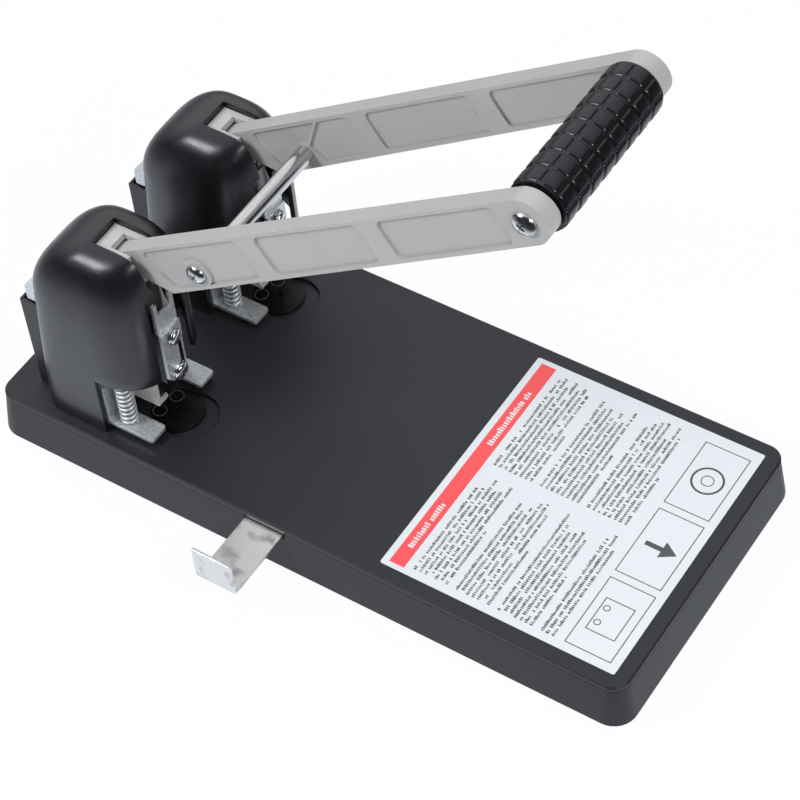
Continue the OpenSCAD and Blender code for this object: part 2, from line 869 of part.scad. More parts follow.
module chip_chute(side) {
    start = plate_x;
    eave = chute_roof - chute_drop;
    color("#c3c8cc")
    at_head(side) {
        plate_y(-chute_half, chute_half)
            polygon([[start, chute_floor], [start, chute_floor + chute_t],
                     [chip_front - chute_gap / 2, chip_low_h + chute_gap + chute_t],
                     [chip_front - chute_gap / 2, chip_low_h + chute_gap]]);
        plate_y(-chute_half, chute_half)
            polygon([[chute_ridge, chute_roof], [chute_knee, chute_roof], [chute_back, eave],
                     [chute_back, chute_lip_z], [chute_back + chute_t, chute_lip_z],
                     [chute_back + chute_t, eave - chute_t / 2],
                     [chute_knee + chute_t / 2, chute_roof - chute_t], [chute_ridge, chute_roof - chute_t]]);
        for (y = [-1, 1])
            plate_y(y > 0 ? chute_half - chute_t : -chute_half, y > 0 ? chute_half : chute_t - chute_half)
                polygon([[start, chute_floor], [start, chute_side_z], [chute_ridge, chute_roof],
                         [chute_knee, chute_roof], [chute_back, eave], [chute_back, chute_lip_z],
                         [chip_front + chute_gap, chute_lip_z],
                         [chip_front + chute_gap, chip_low_h + chute_gap]]);
    }
}

module chip_box(side) {
    color("#232427")
    at_head(side)
    difference() {
        span([chip_back, -chip_half, chip_lift], [chip_front, chip_half, chip_lift + chip_box_h]);
        span([chip_back + chip_wall, -chip_half + chip_wall, chip_lift + chip_wall],
             [chip_front - chip_wall, chip_half - chip_wall, 2 * chip_box_h]);
        span([chip_front - 2 * chip_wall, -chip_half - 1, chip_low_h],
             [chip_front + 1, chip_half + 1, 2 * chip_box_h]);
    }
}

module cutting_disc(side) {
    color("#26272a")
    at_head(side)
    translate([disc_x, 0, 0])
    difference() {
        translate([0, 0, -disc_t]) cylinder(r = disc_r, h = disc_t);
        translate([0, 0, -1]) cylinder(r = disc_screw_r, h = 2);
        for (a = disc_mark_deg)
            rotate(a) translate([disc_offset, 0, -disc_mark_deep])
                difference() {
                    cylinder(r = disc_mark_r + disc_mark_w, h = 1);
                    translate([0, 0, -1]) cylinder(r = disc_mark_r, h = 3);
                }
    }
}

// Punches

module carriage(side) {
    color("#b9bdc1")
    at_head(side)
    difference() {
        union() {
            span([carriage_back, -carriage_half, carriage_z], [carriage_front, carriage_half, carriage_top]);
            for (y = [-1, 1])
                translate([0, y > 0 ? ear_in : -carriage_half, 0]) {
                    span([-ear_r, 0, carriage_top - 1], [ear_r, carriage_half - ear_in, pin_rest_z]);
                    translate([0, 0, pin_rest_z]) bar_y(ear_r, 0, carriage_half - ear_in);
                }
        }
        translate([0, 0, carriage_z - 1]) cylinder(r = punch_r, h = outlet_z - carriage_z + 1);
        translate([0, 0, outlet_z - 1]) cylinder(r = chip_r, h = outlet_h + 1);
        span([2 * carriage_back, -chip_r, outlet_z], [0, chip_r, outlet_z + outlet_h]);
        translate([0, 0, pin_rest_z]) bar_y(drive_r, -head_y, head_y);
    }
}

module hollow_punch(side) {
    color("#a9adb1")
    at_head(side)
    difference() {
        union() {
            translate([0, 0, tip_z + tip_bevel]) cylinder(r = punch_r, h = outlet_z - tip_z - tip_bevel);
            translate([0, 0, tip_z]) cylinder(r1 = chip_r + 0.15, r2 = punch_r, h = tip_bevel);
        }
        cylinder(r = chip_r, h = 2 * outlet_z);
    }
}

module drive_pin(side) {
    color("#b4b8bc")
    at_head(side)
        translate([0, 0, pin_rest_z]) bar_y(drive_r, -carriage_half, carriage_half);
}

module return_spring(side) {
    color("#c3c8cc")
    at_head(side)
        spring(return_spring_d, return_wire, return_turns, block_top, carriage_z - cup_gap);
}

// Presser feet: out is -1 on the outer or near side of a head and 1 on the other

module foot(side, out) {
    low = out * foot_side - foot_w / 2;
    high = out * foot_side + foot_w / 2;
    color("#c3c8cc")
    at_head(side)
    difference() {
        union() {
            translate([(foot_leg_x + foot_front) / 2, out * foot_side, foot_gap])
                linear_extrude(foot_t) rounded(foot_front - foot_leg_x, foot_w, foot_corner);
            span([foot_leg_x, low, foot_gap], [foot_leg_x + foot_leg_t, high, foot_leg_top]);
        }
        translate([foot_x, out * foot_side, 0]) cylinder(r = foot_pin_r, h = 2 * foot_top);
    }
}

module foot_pin(side, out) {
    color("#b4b8bc")
    at_head(side)
    translate([foot_x, out * foot_side, 0]) {
        translate([0, 0, foot_gap]) cylinder(r = foot_pin_r, h = shelf_top + slide_gap - foot_gap + eps);
        translate([0, 0, shelf_top + slide_gap]) cylinder(r = foot_head_r, h = foot_head_t);
    }
}

module foot_spring(side, out) {
    color("#c3c8cc")
    at_head(side)
    translate([foot_x, out * foot_side, 0])
        spring(foot_spring_d, foot_wire, foot_turns, foot_top + cup_gap, shelf_h);
}

// Lever

// Height of the arm's upper edge at a place along it
function arm_top(u) = arm_low + arm_d - arm_taper * u;

module arm_outline() {
    polygon([[chin_u, arm_low], [arm_reach, arm_low], [arm_reach, arm_top(arm_reach)],
             [chin_top, arm_top(chin_top)]]);
    translate([arm_reach, -arm_drop]) circle(arm_end_d / 2);
}

// Outline of one recessed panel, from the pivot's end: the first is cut off along the chin
module panel(i) {
    in = panel_rim + panel_corner;
    from = panel_from + i * (panel_l + panel_rib) + panel_corner;
    to = from + panel_l - 2 * panel_corner;
    low = arm_low + in;
    hull()
        for (p = [[from + (i == 0 ? panel_cut : 0), low], [to, low],
                  [to, arm_top(to) - in], [from, arm_top(from) - in]])
            translate(p) circle(panel_corner, $fn = hull_fn);
}

// The raised place round the rod's end: a socket that widens to the lower edge, and a rib to the upper edge
module rod_socket() {
    end_u = rod_reach + rib_run;
    hull() {
        translate([rod_reach, rod_v]) circle(rod_socket_r, $fn = hull_fn);
        for (u = socket_foot) translate([rod_reach + u, arm_low]) circle(rib_half, $fn = hull_fn);
    }
    hull()
        for (p = [[rod_reach, rod_v], [end_u, arm_top(end_u)]])
            translate(p) circle(rib_half, $fn = hull_fn);
}

// The strap from the hub round the drive pin's slot and into the arm
module lobe_outline() {
    low = pin_v - slot_r - lobe_wall;
    polygon([[0, hub_r], lobe_waist, [lobe_root, arm_top(lobe_root) - lobe_sink], lobe_tip, lobe_chin,
             [pin_u, low], [pin_u - lobe_heel[0], low + lobe_heel[1]], [lobe_back[0], lobe_back[1] - hub_r]]);
}

module arm(side) {
    color("#cbccca")
    at_lever()
    translate([0, side * head_y, 0])
    difference() {
        union() {
            plate_y(-arm_half, arm_half) arm_outline();
            plate_y(-lobe_half, lobe_half) lobe_outline();
            bar_y(hub_r, -hub_half, hub_half);
        }
        for (y = [-1, 1])
            for (i = [0:panel_count - 1])
                plate_y(y > 0 ? arm_half - panel_deep : -arm_half - 1,
                        y > 0 ? arm_half + 1 : panel_deep - arm_half)
                    difference() {
                        panel(i);
                        if (y == side) translate([rod_reach, rod_v]) circle(rod_boss_r);
                        else rod_socket();
                    }
        bar_y(pivot_r + run_gap, -head_y, head_y);
        translate([rod_reach, 0, rod_v]) bar_y(rod_screw_r + screw_gap, -head_y, head_y);
        translate([arm_reach, 0, -arm_drop]) bar_y(grip_screw_r + screw_gap, -head_y, head_y);
        rotate([0, -pin_bearing, 0]) {
            translate([lever_e - slot_gap, 0, 0]) bar_y(slot_r, -head_y, head_y);
            translate([lever_e + slot_run, 0, 0]) bar_y(slot_r, -head_y, head_y);
            span([lever_e - slot_gap, -head_y, -slot_r], [lever_e + slot_run, head_y, slot_r]);
        }
    }
}

// A screw through an arm's outer face, with its head outside
module arm_screw(side, u, v, head_r, shank_r) {
    at_lever()
        translate([u, side * (head_y + arm_half), v])
            rotate([side * -90, 0, 0]) pan_screw(head_r, shank_r, arm_screw_l);
}

module cross_rod() {
    color("#d6d8da")
    at_lever()
    translate([rod_reach, 0, rod_v])
    difference() {
        bar_y(rod_r, -arm_inner, arm_inner);
        for (y = [-1, 1])
            bar_y(rod_screw_r, y > 0 ? arm_inner + arm_t - arm_screw_l - 1 : -arm_inner - 1,
                  y > 0 ? arm_inner + 1 : arm_screw_l + 1 - arm_inner - arm_t);
    }
}

module rod_screws() {
    color("#d6d8da")
    for (side = [-1, 1]) arm_screw(side, rod_reach, rod_v, rod_screw_head_r, rod_screw_r);
}

module grip_core() {
    color("#9a9da0")
    at_lever()
    translate([arm_reach, 0, -arm_drop])
    difference() {
        bar_y(core_d / 2, -arm_inner, arm_inner);
        for (y = [-1, 1])
            bar_y(grip_screw_r, y > 0 ? arm_inner + arm_t - arm_screw_l - 1 : -arm_inner - 1,
                  y > 0 ? arm_inner + 1 : arm_screw_l + 1 - arm_inner - arm_t);
    }
}

module grip_screws() {
    color("#d6d8da")
    for (side = [-1, 1]) arm_screw(side, arm_reach, -arm_drop, grip_screw_head_r, grip_screw_r);
}

module grip() {
    step = 2 * grip_half / tile_rows;
    color("#222326")
    at_lever()
    translate([arm_reach, 0, -arm_drop])
    difference() {
        bar_y(grip_d / 2, -grip_half, grip_half);
        bar_y(core_d / 2, -head_y, head_y);
        for (i = [1:tile_rows - 1])
            translate([0, -grip_half + i * step - tile_gap / 2, 0])
                difference() {
                    bar_y(grip_d, 0, tile_gap);
                    bar_y(grip_d / 2 - grip_groove, -1, 2);
                }
        for (k = [0:tile_round - 1])
            rotate([0, 360 * k / tile_round + tile_turn, 0])
                span([-tile_gap / 2, -grip_half - 1, grip_d / 2 - grip_groove],
                     [tile_gap / 2, grip_half + 1, grip_d]);
    }
}

base_housing();
base_top();
bottom_plate();
rubber_mat();
base_screws();
guide_rail();
sticker();
paper_guide();
frame(-1);  // frame_left
frame(1);  // frame_right
frame_screws();
hood(-1);  // hood_left
hood(1);  // hood_right
guide_block(-1);  // guide_block_left
guide_block(1);  // guide_block_right
front_plate(-1);  // front_plate_left
front_plate(1);  // front_plate_right
front_plate_screws();
pivot_pin(-1);  // pivot_pin_left
pivot_pin(1);  // pivot_pin_right
pivot_clips();
chip_chute(-1);  // chip_chute_left
chip_chute(1);  // chip_chute_right
chip_box(-1);  // chip_box_left
chip_box(1);  // chip_box_right
cutting_disc(-1);  // cutting_disc_left
cutting_disc(1);  // cutting_disc_right
carriage(-1);  // carriage_left
carriage(1);  // carriage_right
hollow_punch(-1);  // hollow_punch_left
hollow_punch(1);  // hollow_punch_right
drive_pin(-1);  // drive_pin_left
drive_pin(1);  // drive_pin_right
return_spring(-1);  // return_spring_left
return_spring(1);  // return_spring_right
foot(-1, -1);  // foot_left_outer
foot(-1, 1);  // foot_left_inner
foot(1, -1);  // foot_right_inner
foot(1, 1);  // foot_right_outer
foot_pin(-1, -1);  // foot_pin_left_outer
foot_pin(-1, 1);  // foot_pin_left_inner
foot_pin(1, -1);  // foot_pin_right_inner
foot_pin(1, 1);  // foot_pin_right_outer
foot_spring(-1, -1);  // foot_spring_left_outer
foot_spring(-1, 1);  // foot_spring_left_inner
foot_spring(1, -1);  // foot_spring_right_inner
foot_spring(1, 1);  // foot_spring_right_outer
arm(-1);  // arm_left
arm(1);  // arm_right
cross_rod();
rod_screws();
grip();
grip_core();
grip_screws();
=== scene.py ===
# %% [markdown]
# # Dressing a heavy duty hole punch
#
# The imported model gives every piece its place, its size and its motion. This lesson adds
# what the eye looks for: rounded edges, wound springs, a tiled grip, smooth hoods, and
# finishes that behave as paint, plastic, zinc and chrome do.

import json
import math

import bmesh
import bpy
from mathutils import Matrix, Vector

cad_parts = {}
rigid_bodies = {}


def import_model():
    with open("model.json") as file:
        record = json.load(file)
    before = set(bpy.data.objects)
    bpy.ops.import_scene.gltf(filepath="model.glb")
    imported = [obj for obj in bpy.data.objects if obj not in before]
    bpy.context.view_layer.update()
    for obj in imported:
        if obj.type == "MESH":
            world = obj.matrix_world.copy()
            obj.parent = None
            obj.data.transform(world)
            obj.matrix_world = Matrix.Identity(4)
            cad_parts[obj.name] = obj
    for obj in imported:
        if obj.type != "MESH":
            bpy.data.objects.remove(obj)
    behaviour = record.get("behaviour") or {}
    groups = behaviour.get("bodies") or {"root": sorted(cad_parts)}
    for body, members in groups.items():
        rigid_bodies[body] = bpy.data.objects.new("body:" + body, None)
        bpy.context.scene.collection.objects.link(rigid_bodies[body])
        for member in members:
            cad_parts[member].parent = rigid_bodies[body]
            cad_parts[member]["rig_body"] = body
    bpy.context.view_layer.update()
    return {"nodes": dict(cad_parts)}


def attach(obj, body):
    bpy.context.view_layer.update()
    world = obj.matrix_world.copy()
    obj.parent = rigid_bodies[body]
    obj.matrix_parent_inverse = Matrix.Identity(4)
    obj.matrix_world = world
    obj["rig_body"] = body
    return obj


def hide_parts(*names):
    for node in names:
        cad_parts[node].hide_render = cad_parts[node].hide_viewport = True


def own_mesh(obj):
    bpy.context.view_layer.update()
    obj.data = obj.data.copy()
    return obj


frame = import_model()
nodes = frame["nodes"]
MM = 0.001
SIDES = {"left": -1, "right": 1}
FEET = ("left_outer", "left_inner", "right_inner", "right_outer")


def linked(name, data):
    """A new object in the scene."""
    thing = bpy.data.objects.new(name, data)
    bpy.context.scene.collection.objects.link(thing)
    return thing


def as_mesh(bm, name):
    """A plain mesh from an edit mesh, which is freed."""
    mesh = bpy.data.meshes.new(name)
    bm.to_mesh(mesh)
    bm.free()
    return mesh


def evaluated(thing):
    """A plain mesh of the object with its modifiers applied."""
    graph = bpy.context.evaluated_depsgraph_get()
    return bpy.data.meshes.new_from_object(thing.evaluated_get(graph), depsgraph=graph)


print("pieces in the packed model:", len(nodes))

# %% [markdown]
# ## Where we stand
#
# A camera is a place, a direction and a lens. Reading the picture's straight lines gives
# all three: we look down at fifty degrees from the near corner, with a slight tilt of the
# camera, through a long lens that keeps the base's edges almost parallel.

# %% Camera
SENSOR_MM = 36
PICTURE_PX = 800
FOCAL_PX = 2612.8
azimuth = math.radians(-52.36)
elevation = math.radians(50.0)
roll = math.radians(-6.21)
target = Vector((17.7, -9.5, 60)) * MM
distance = 1116.3 * MM

toward = Vector((math.cos(elevation) * math.cos(azimuth),
                 math.cos(elevation) * math.sin(azimuth),
                 math.sin(elevation)))
level = Vector((-math.sin(azimuth), math.cos(azimuth), 0))
upright = toward.cross(level)
right = math.cos(roll) * level + math.sin(roll) * upright
up = math.cos(roll) * upright - math.sin(roll) * level

lens = bpy.data.cameras.new("picture_camera")
lens.sensor_width = SENSOR_MM
lens.lens = FOCAL_PX * SENSOR_MM / PICTURE_PX
lens.clip_start = 0.05
lens.clip_end = 20
camera = linked("picture_camera", lens)
turn = Matrix((right, up, toward)).transposed().to_4x4()
camera.matrix_world = Matrix.Translation(target + distance * toward) @ turn
bpy.context.scene.camera = camera
bpy.context.scene.view_settings.view_transform = "Standard"
stand = [round(v, 3) for v in camera.matrix_world.translation]
print("lens", round(lens.lens, 1), "mm, camera at", stand)

# %% [markdown]
# ## Sums on sockets
#
# Shader and geometry trees are full of small sums. One class stands for a socket and takes
# part in plain arithmetic, and one method adds any node with its settings and inputs. The
# same pair serves materials and Geometry Nodes, because both are node trees.

# %% Wires and graphs
class Wire:
    """One output socket that can be added, multiplied and so on."""

    def __init__(self, graph, socket):
        self.graph = graph
        self.socket = socket

    def __add__(self, other):
        return self.graph.maths("ADD", self, other)

    __radd__ = __add__

    def __sub__(self, other):
        return self.graph.maths("SUBTRACT", self, other)

    def __rsub__(self, other):
        return self.graph.maths("SUBTRACT", other, self)

    def __mul__(self, other):
        return self.graph.maths("MULTIPLY", self, other)

    __rmul__ = __mul__

    def __truediv__(self, other):
        return self.graph.maths("DIVIDE", self, other)

    def __pow__(self, other):
        return self.graph.maths("POWER", self, other)


class Graph:
    """A node tree that grows by one call per node."""

    def __init__(self, tree):
        self.tree = tree

    def add(self, kind, settings=(), inputs=(), out=0):
        node = self.tree.nodes.new(kind)
        for key, value in dict(settings).items():
            setattr(node, key, value)
        for key, value in dict(inputs).items():
            self.feed(node.inputs[key], value)
        return Wire(self, node.outputs[out])

    def feed(self, socket, value):
        if isinstance(value, Wire):
            self.tree.links.new(value.socket, socket)
        else:
            socket.default_value = value

    def maths(self, operation, *values):
        return self.add("ShaderNodeMath", {"operation": operation}, dict(enumerate(values)))

    def spread(self, value, low, high, first, last, ease="LINEAR"):
        """Maps a value from one range to another."""
        ends = {"Value": value, "From Min": low, "From Max": high, "To Min": first, "To Max": last}
        return self.add("ShaderNodeMapRange", {"interpolation_type": ease}, ends)


class Finish(Graph):
    """A material on one Principled shader, measured in millimetres of the object."""

    def __init__(self, name, colour, **plain):
        self.material = bpy.data.materials.new(name)
        self.material.use_nodes = True
        super().__init__(self.material.node_tree)
        self.shader = self.tree.nodes["Principled BSDF"]
        self.set("Base Color", (*colour, 1))
        for socket, value in plain.items():
            self.set(socket.replace("_", " ").title().replace("Ior", "IOR"), value)

    def set(self, socket, value):
        self.feed(self.shader.inputs[socket], value)

    def noise(self, size, detail, stretch=(1, 1, 1)):
        spot = self.add("ShaderNodeTexCoord", out="Object")
        scale = [s / MM for s in stretch]
        place = self.add("ShaderNodeMapping", {}, {"Vector": spot, "Scale": scale})
        cloud = {"Vector": place, "Scale": 1 / size, "Detail": detail}
        return self.add("ShaderNodeTexNoise", {}, cloud)

    def tint(self, share, first, second):
        ends = {0: share, 6: (*first, 1), 7: (*second, 1)}
        return self.add("ShaderNodeMix", {"data_type": "RGBA"}, ends, out=2)

    def drift(self, patch, dark, pale):
        """A colour that wanders between two tones, over patches of a size."""
        self.set("Base Color", self.tint(self.noise(patch, 2), dark, pale))

    def bump(self, height, depth):
        relief = self.add("ShaderNodeBump", {}, {"Height": height, "Distance": depth * MM})
        self.set("Normal", relief)


print("wires, graphs and finishes are ready")

# %% [markdown]
# ## Light and floor
#
# A studio picture of a dark object is mostly a picture of what stands round it. Here the
# room is bright behind and above and dark on the camera's side. One broad box on the left
# draws the bright patch on the brow of each hood, and a long one lights the faces that look
# forward. The camera sees a white floor. Shiny faces see the floor glow in a small bluish
# pool of painted light, which fades outward and towards the camera's side.

# %% Stage
def soft_box(name, place, aim, size, radiance):
    lamp = bpy.data.lights.new(name, "AREA")
    lamp.shape = "RECTANGLE"
    lamp.size, lamp.size_y = size
    lamp.energy = radiance * math.pi * size[0] * size[1]
    box = linked(name, lamp)
    box.location = place
    box.rotation_euler = (Vector(aim) - Vector(place)).to_track_quat("-Z", "Y").to_euler()
    box.visible_camera = False


def around(azimuth_deg, elevation_deg, reach):
    a = math.radians(azimuth_deg)
    e = math.radians(elevation_deg)
    return Vector((math.cos(e) * math.cos(a), math.cos(e) * math.sin(a), math.sin(e))) * reach


MIDDLE = Vector((-0.03, 0, 0.08))
BOX_REACH = 1.3
LEFT_FROM, LEFT_SIZE, LEFT_RADIANCE = (-127, 42), (0.48, 0.38), 16.0
FRONT_FROM, FRONT_SIZE, FRONT_RADIANCE = (-14, 38), (0.80, 0.22), 14.0
soft_box("left_box", MIDDLE + around(*LEFT_FROM, BOX_REACH), MIDDLE, LEFT_SIZE, LEFT_RADIANCE)
soft_box("front_box", MIDDLE + around(*FRONT_FROM, BOX_REACH), MIDDLE, FRONT_SIZE, FRONT_RADIANCE)

RAYS = ("Is Camera Ray", "Is Glossy Ray", "Is Transmission Ray")


def ray_kinds(graph):
    path = graph.tree.nodes.new("ShaderNodeLightPath")
    return [Wire(graph, path.outputs[k]) for k in RAYS]


def vector_sum(graph, operation, *values):
    inputs = dict(enumerate(values))
    return graph.add("ShaderNodeVectorMath", {"operation": operation}, inputs, out="Value")


world = bpy.data.worlds.new("studio")
world.use_nodes = True
bpy.context.scene.world = world
sky = Graph(world.node_tree)
background = world.node_tree.nodes["Background"]
background.inputs["Color"].default_value = (1, 1, 1, 1)
BRIGHT_SIDE = around(134, 53, 1)
DIM_ROOM, BRIGHT_ROOM = 0.03, 1.0
ROOM_FROM, ROOM_TO = 0.3, 0.92
look = sky.add("ShaderNodeTexCoord", out="Generated")
facing = vector_sum(sky, "DOT_PRODUCT", look, BRIGHT_SIDE)
room = sky.spread(facing, ROOM_FROM, ROOM_TO, DIM_ROOM, BRIGHT_ROOM, "SMOOTHSTEP")
camera_ray = ray_kinds(sky)[0]
sky.feed(background.inputs["Strength"], camera_ray * (1 - room) + room)

FLOOR_HALF, FLOOR_Z = 4.0, -0.0002
FLOOR_GLOW, FLOOR_TINT = 0.96, (0.90, 0.94, 1.0)
FADE_FROM, FADE_TO, FADE_LEFT = 0.10, 0.40, 0.03
POOL_FROM, POOL_TO, POOL_LEFT = 0.22, 0.55, 0.22
CAMERA_SIDE = around(math.degrees(azimuth), 0, 1)
paper = Finish("pale_floor", (0.86, 0.86, 0.86), roughness=0.8)
spot = paper.add("ShaderNodeTexCoord", out="Object")
ahead = vector_sum(paper, "DOT_PRODUCT", spot, CAMERA_SIDE)
outward = vector_sum(paper, "LENGTH", spot)
# Painted reflection: for glossy rays the floor glows in a pool that fades outward and towards the
# camera's side. It stands in for the fall-off of the soft boxes' light.
pool = (paper.spread(ahead, FADE_FROM, FADE_TO, 1.0, FADE_LEFT, "SMOOTHSTEP")
        * paper.spread(outward, POOL_FROM, POOL_TO, 1.0, POOL_LEFT, "SMOOTHSTEP"))
camera_ray, glossy_ray, through_ray = ray_kinds(paper)
shine = [paper.maths("MAXIMUM", camera_ray, pool * share) for share in FLOOR_TINT]
shine_colour = paper.add("ShaderNodeCombineColor", {}, dict(enumerate(shine)))
glow = paper.add("ShaderNodeEmission", {}, {"Color": shine_colour})
lit = Wire(paper, paper.shader.outputs[0])
seen = paper.maths("MAXIMUM", paper.maths("MAXIMUM", camera_ray, glossy_ray), through_ray)
mixed = paper.add("ShaderNodeMixShader", {}, {0: seen * FLOOR_GLOW, 1: lit, 2: glow})
paper.feed(paper.tree.nodes["Material Output"].inputs["Surface"], mixed)

floor_mesh = bpy.data.meshes.new("floor")
corners = [(x * FLOOR_HALF, y * FLOOR_HALF) for x, y in ((-1, -1), (1, -1), (1, 1), (-1, 1))]
floor_mesh.from_pydata([(x, y, FLOOR_Z) for x, y in corners], [], [(0, 1, 2, 3)])
floor_mesh.materials.append(paper.material)
floor = linked("floor", floor_mesh)
print("two soft boxes and a pale floor")

# %% [markdown]
# ## Paint and plastic
#
# The base is powder coated: a dark grey with a fine grain that scatters light. The hoods
# and boxes are moulded plastic, smoother, with a faint orange peel. The arms are cast and
# painted pale grey. Each finish gets its colour drift, its sheen and its small relief. Lengths
# are in millimetres: patch is the size of the drift, grain that of the relief.

# %% Painted and moulded finishes
NOISE_LOW, NOISE_HIGH = 0.3, 0.7


def mottled(name, dark, pale, patch, sheen, relief, grain, **plain):
    """A finish whose colour drifts between two tones, with a sheen range and a fine relief."""
    finish = Finish(name, pale, **plain)
    finish.drift(patch, dark, pale)
    fine = finish.noise(grain, 3)
    finish.set("Roughness", finish.spread(fine, NOISE_LOW, NOISE_HIGH, *sheen))
    finish.bump(fine, relief)
    return finish


COOL = (0.88, 0.91, 1.0, 1)
base_paint = mottled("base_paint", (0.0130, 0.0138, 0.0165), (0.0185, 0.0195, 0.0228), patch=60,
                     sheen=(0.40, 0.52), relief=0.035, grain=0.55, specular_tint=COOL)
hood_black = mottled("hood_black", (0.0060, 0.0062, 0.0076), (0.0084, 0.0086, 0.0104), patch=25,
                     sheen=(0.29, 0.35), relief=0.005, grain=3.0, specular_tint=COOL,
                     specular_ior_level=0.6, coat_weight=0.12, coat_roughness=0.2)
box_black = mottled("box_black", (0.0085, 0.0088, 0.0105), (0.012, 0.0124, 0.0146), patch=20,
                    sheen=(0.34, 0.44), relief=0.010, grain=0.9, specular_tint=COOL)
arm_grey = mottled("arm_grey", (0.437, 0.442, 0.446), (0.480, 0.485, 0.488), patch=30,
                   sheen=(0.36, 0.48), relief=0.008, grain=1.1)
frame_grey = mottled("frame_grey", (0.47, 0.47, 0.465), (0.59, 0.59, 0.58), patch=8,
                     sheen=(0.42, 0.56), relief=0.012, grain=0.8)
# Partly painted shade: the discs are black plastic, and their colour is darkened further to stand
# in for the shade that the hoods cast round them.
disc_black = mottled("disc_black", (0.0035, 0.0035, 0.0040), (0.0055, 0.0055, 0.0062), patch=9,
                     sheen=(0.26, 0.40), relief=0.010, grain=1.5, specular_ior_level=0.3)
mark_grey = mottled("mark_grey", (0.06, 0.06, 0.06), (0.20, 0.20, 0.19), patch=1.2,
                    sheen=(0.4, 0.6), relief=0.01, grain=0.8)
grip_rubber = mottled("grip_rubber", (0.0045, 0.0047, 0.0056), (0.0075, 0.0078, 0.0092), patch=8,
                      sheen=(0.22, 0.32), relief=0.008, grain=0.5, specular_tint=COOL,
                      specular_ior_level=0.55)
mat_rubber = mottled("mat_rubber", (0.011, 0.011, 0.012), (0.020, 0.020, 0.021), patch=6,
                     sheen=(0.7, 0.9), relief=0.08, grain=0.7)
print("materials in the file:", len(bpy.data.materials))

# %% [markdown]
# ## Bare metal
#
# Zinc plate is bluish and cloudy, so its tone and gloss drift together in small patches. The
# side guide is dull nickel with finger smudges. Rod and screws are bright, and the rod keeps
# fine lines from drawing, so its noise is stretched along Y.

# %% Metal finishes
PATCH_LOW, PATCH_HIGH = 0.36, 0.64
SMUDGE_LOW, SMUDGE_HIGH, SMUDGE_DULL = 0.54, 0.72, 0.15


def metal(name, dark, bright, grain, rough, relief, stretch=(1, 1, 1), metallic=1.0):
    """A metal whose tone, gloss and relief follow one cloudy pattern."""
    finish = Finish(name, bright, metallic=metallic)
    patch = finish.spread(finish.noise(grain, 4, stretch), PATCH_LOW, PATCH_HIGH, 0.0, 1.0)
    finish.set("Base Color", finish.tint(patch, dark, bright))
    finish.set("Roughness", finish.spread(patch, 0.0, 1.0, *rough))
    finish.bump(patch, relief)
    return finish


zinc = metal("zinc_steel", (0.62, 0.65, 0.68), (0.86, 0.885, 0.91), grain=1.5,
             rough=(0.34, 0.50), relief=0.002, metallic=0.7)
pins = metal("pin_steel", (0.45, 0.45, 0.46), (0.56, 0.56, 0.57), grain=0.5,
             rough=(0.26, 0.38), relief=0.004, stretch=(1, 1, 6))
plate = metal("plain_steel", (0.42, 0.42, 0.43), (0.54, 0.54, 0.55), grain=2.5,
              rough=(0.36, 0.50), relief=0.006)
chrome = metal("rod_chrome", (0.52, 0.52, 0.53), (0.70, 0.70, 0.71), grain=0.7,
               rough=(0.12, 0.22), relief=0.003, stretch=(3, 0.04, 3))
screws = metal("screw_steel", (0.62, 0.63, 0.65), (0.80, 0.81, 0.83), grain=0.9,
               rough=(0.12, 0.22), relief=0.003)
# Dark steel: the pivot clips' own colour, and painted shade on the guide blocks, where it stands in
# for the shadow in the hollow under the front plates.
dark_steel_and_shade = metal("clip_steel", (0.05, 0.05, 0.055), (0.10, 0.10, 0.11), grain=1.0,
              rough=(0.35, 0.55), relief=0.008)

nickel = Finish("guide_nickel", (0.60, 0.60, 0.60), metallic=1.0)
smudge = nickel.spread(nickel.noise(9, 4), SMUDGE_LOW, SMUDGE_HIGH, 0.0, 1.0)
lines = nickel.noise(0.35, 3, (1, 0.05, 1))
nickel.set("Base Color", nickel.tint(smudge, (0.80, 0.80, 0.79), (0.40, 0.40, 0.40)))
gloss = nickel.spread(lines, NOISE_LOW, NOISE_HIGH, 0.26, 0.42)
nickel.set("Roughness", gloss + SMUDGE_DULL * smudge)
nickel.bump(lines, 0.006)
print("materials in the file:", len(bpy.data.materials))

# %% [markdown]
# ## The sticker's film
#
# A pale printed film lies on the front of the base. The print itself will be thin flat
# shapes in two inks, a red and a dark grey. The titles on the red take the film's own tone.

# %% Film and inks
film = Finish("sticker_film", (0.74, 0.79, 0.84), roughness=0.36, coat_weight=0.2,
              coat_roughness=0.2)
film.drift(30, (0.71, 0.765, 0.815), (0.77, 0.815, 0.86))
red_ink = Finish("red_ink", (0.93, 0.085, 0.095), roughness=0.38)
red_ink.drift(12, (0.90, 0.078, 0.088), (0.97, 0.095, 0.105))
grey_ink = Finish("grey_ink", (0.07, 0.07, 0.075), roughness=0.45)
grey_ink.drift(3, (0.055, 0.055, 0.06), (0.10, 0.10, 0.105))
print("film and two inks")

# %% [markdown]
# ## Rounded copies of the solids
#
# A machined or pressed edge is never perfectly sharp, and a thin line of light along it is
# what makes an edge look real. A copy of the solid is merged, its flat faces are joined, and
# a Bevel rounds every sharp edge. Weighted normals keep the flat faces flat.

# %% Softened copies
MERGE_DIST, FLAT_DEG, SHARP_DEG = 0.002, 0.5, 35


def new_piece(name, mesh, finish, body, *replaced, slot=None):
    piece = linked(name, mesh)
    if finish is not None:
        mesh.materials.clear()
        mesh.materials.append(finish.material)
    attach(piece, body)
    if replaced:
        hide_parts(*replaced)
    return piece


def round_edges(piece, width, segments=2, angle=SHARP_DEG):
    bevel = piece.modifiers.new("rounded edges", "BEVEL")
    bevel.width = width * MM
    bevel.segments = segments
    bevel.limit_method = "ANGLE"
    bevel.angle_limit = math.radians(angle)
    bevel.use_clamp_overlap = True
    piece.data.polygons.foreach_set("use_smooth", [True] * len(piece.data.polygons))
    weighted = piece.modifiers.new("flat faces", "WEIGHTED_NORMAL")
    weighted.keep_sharp = True


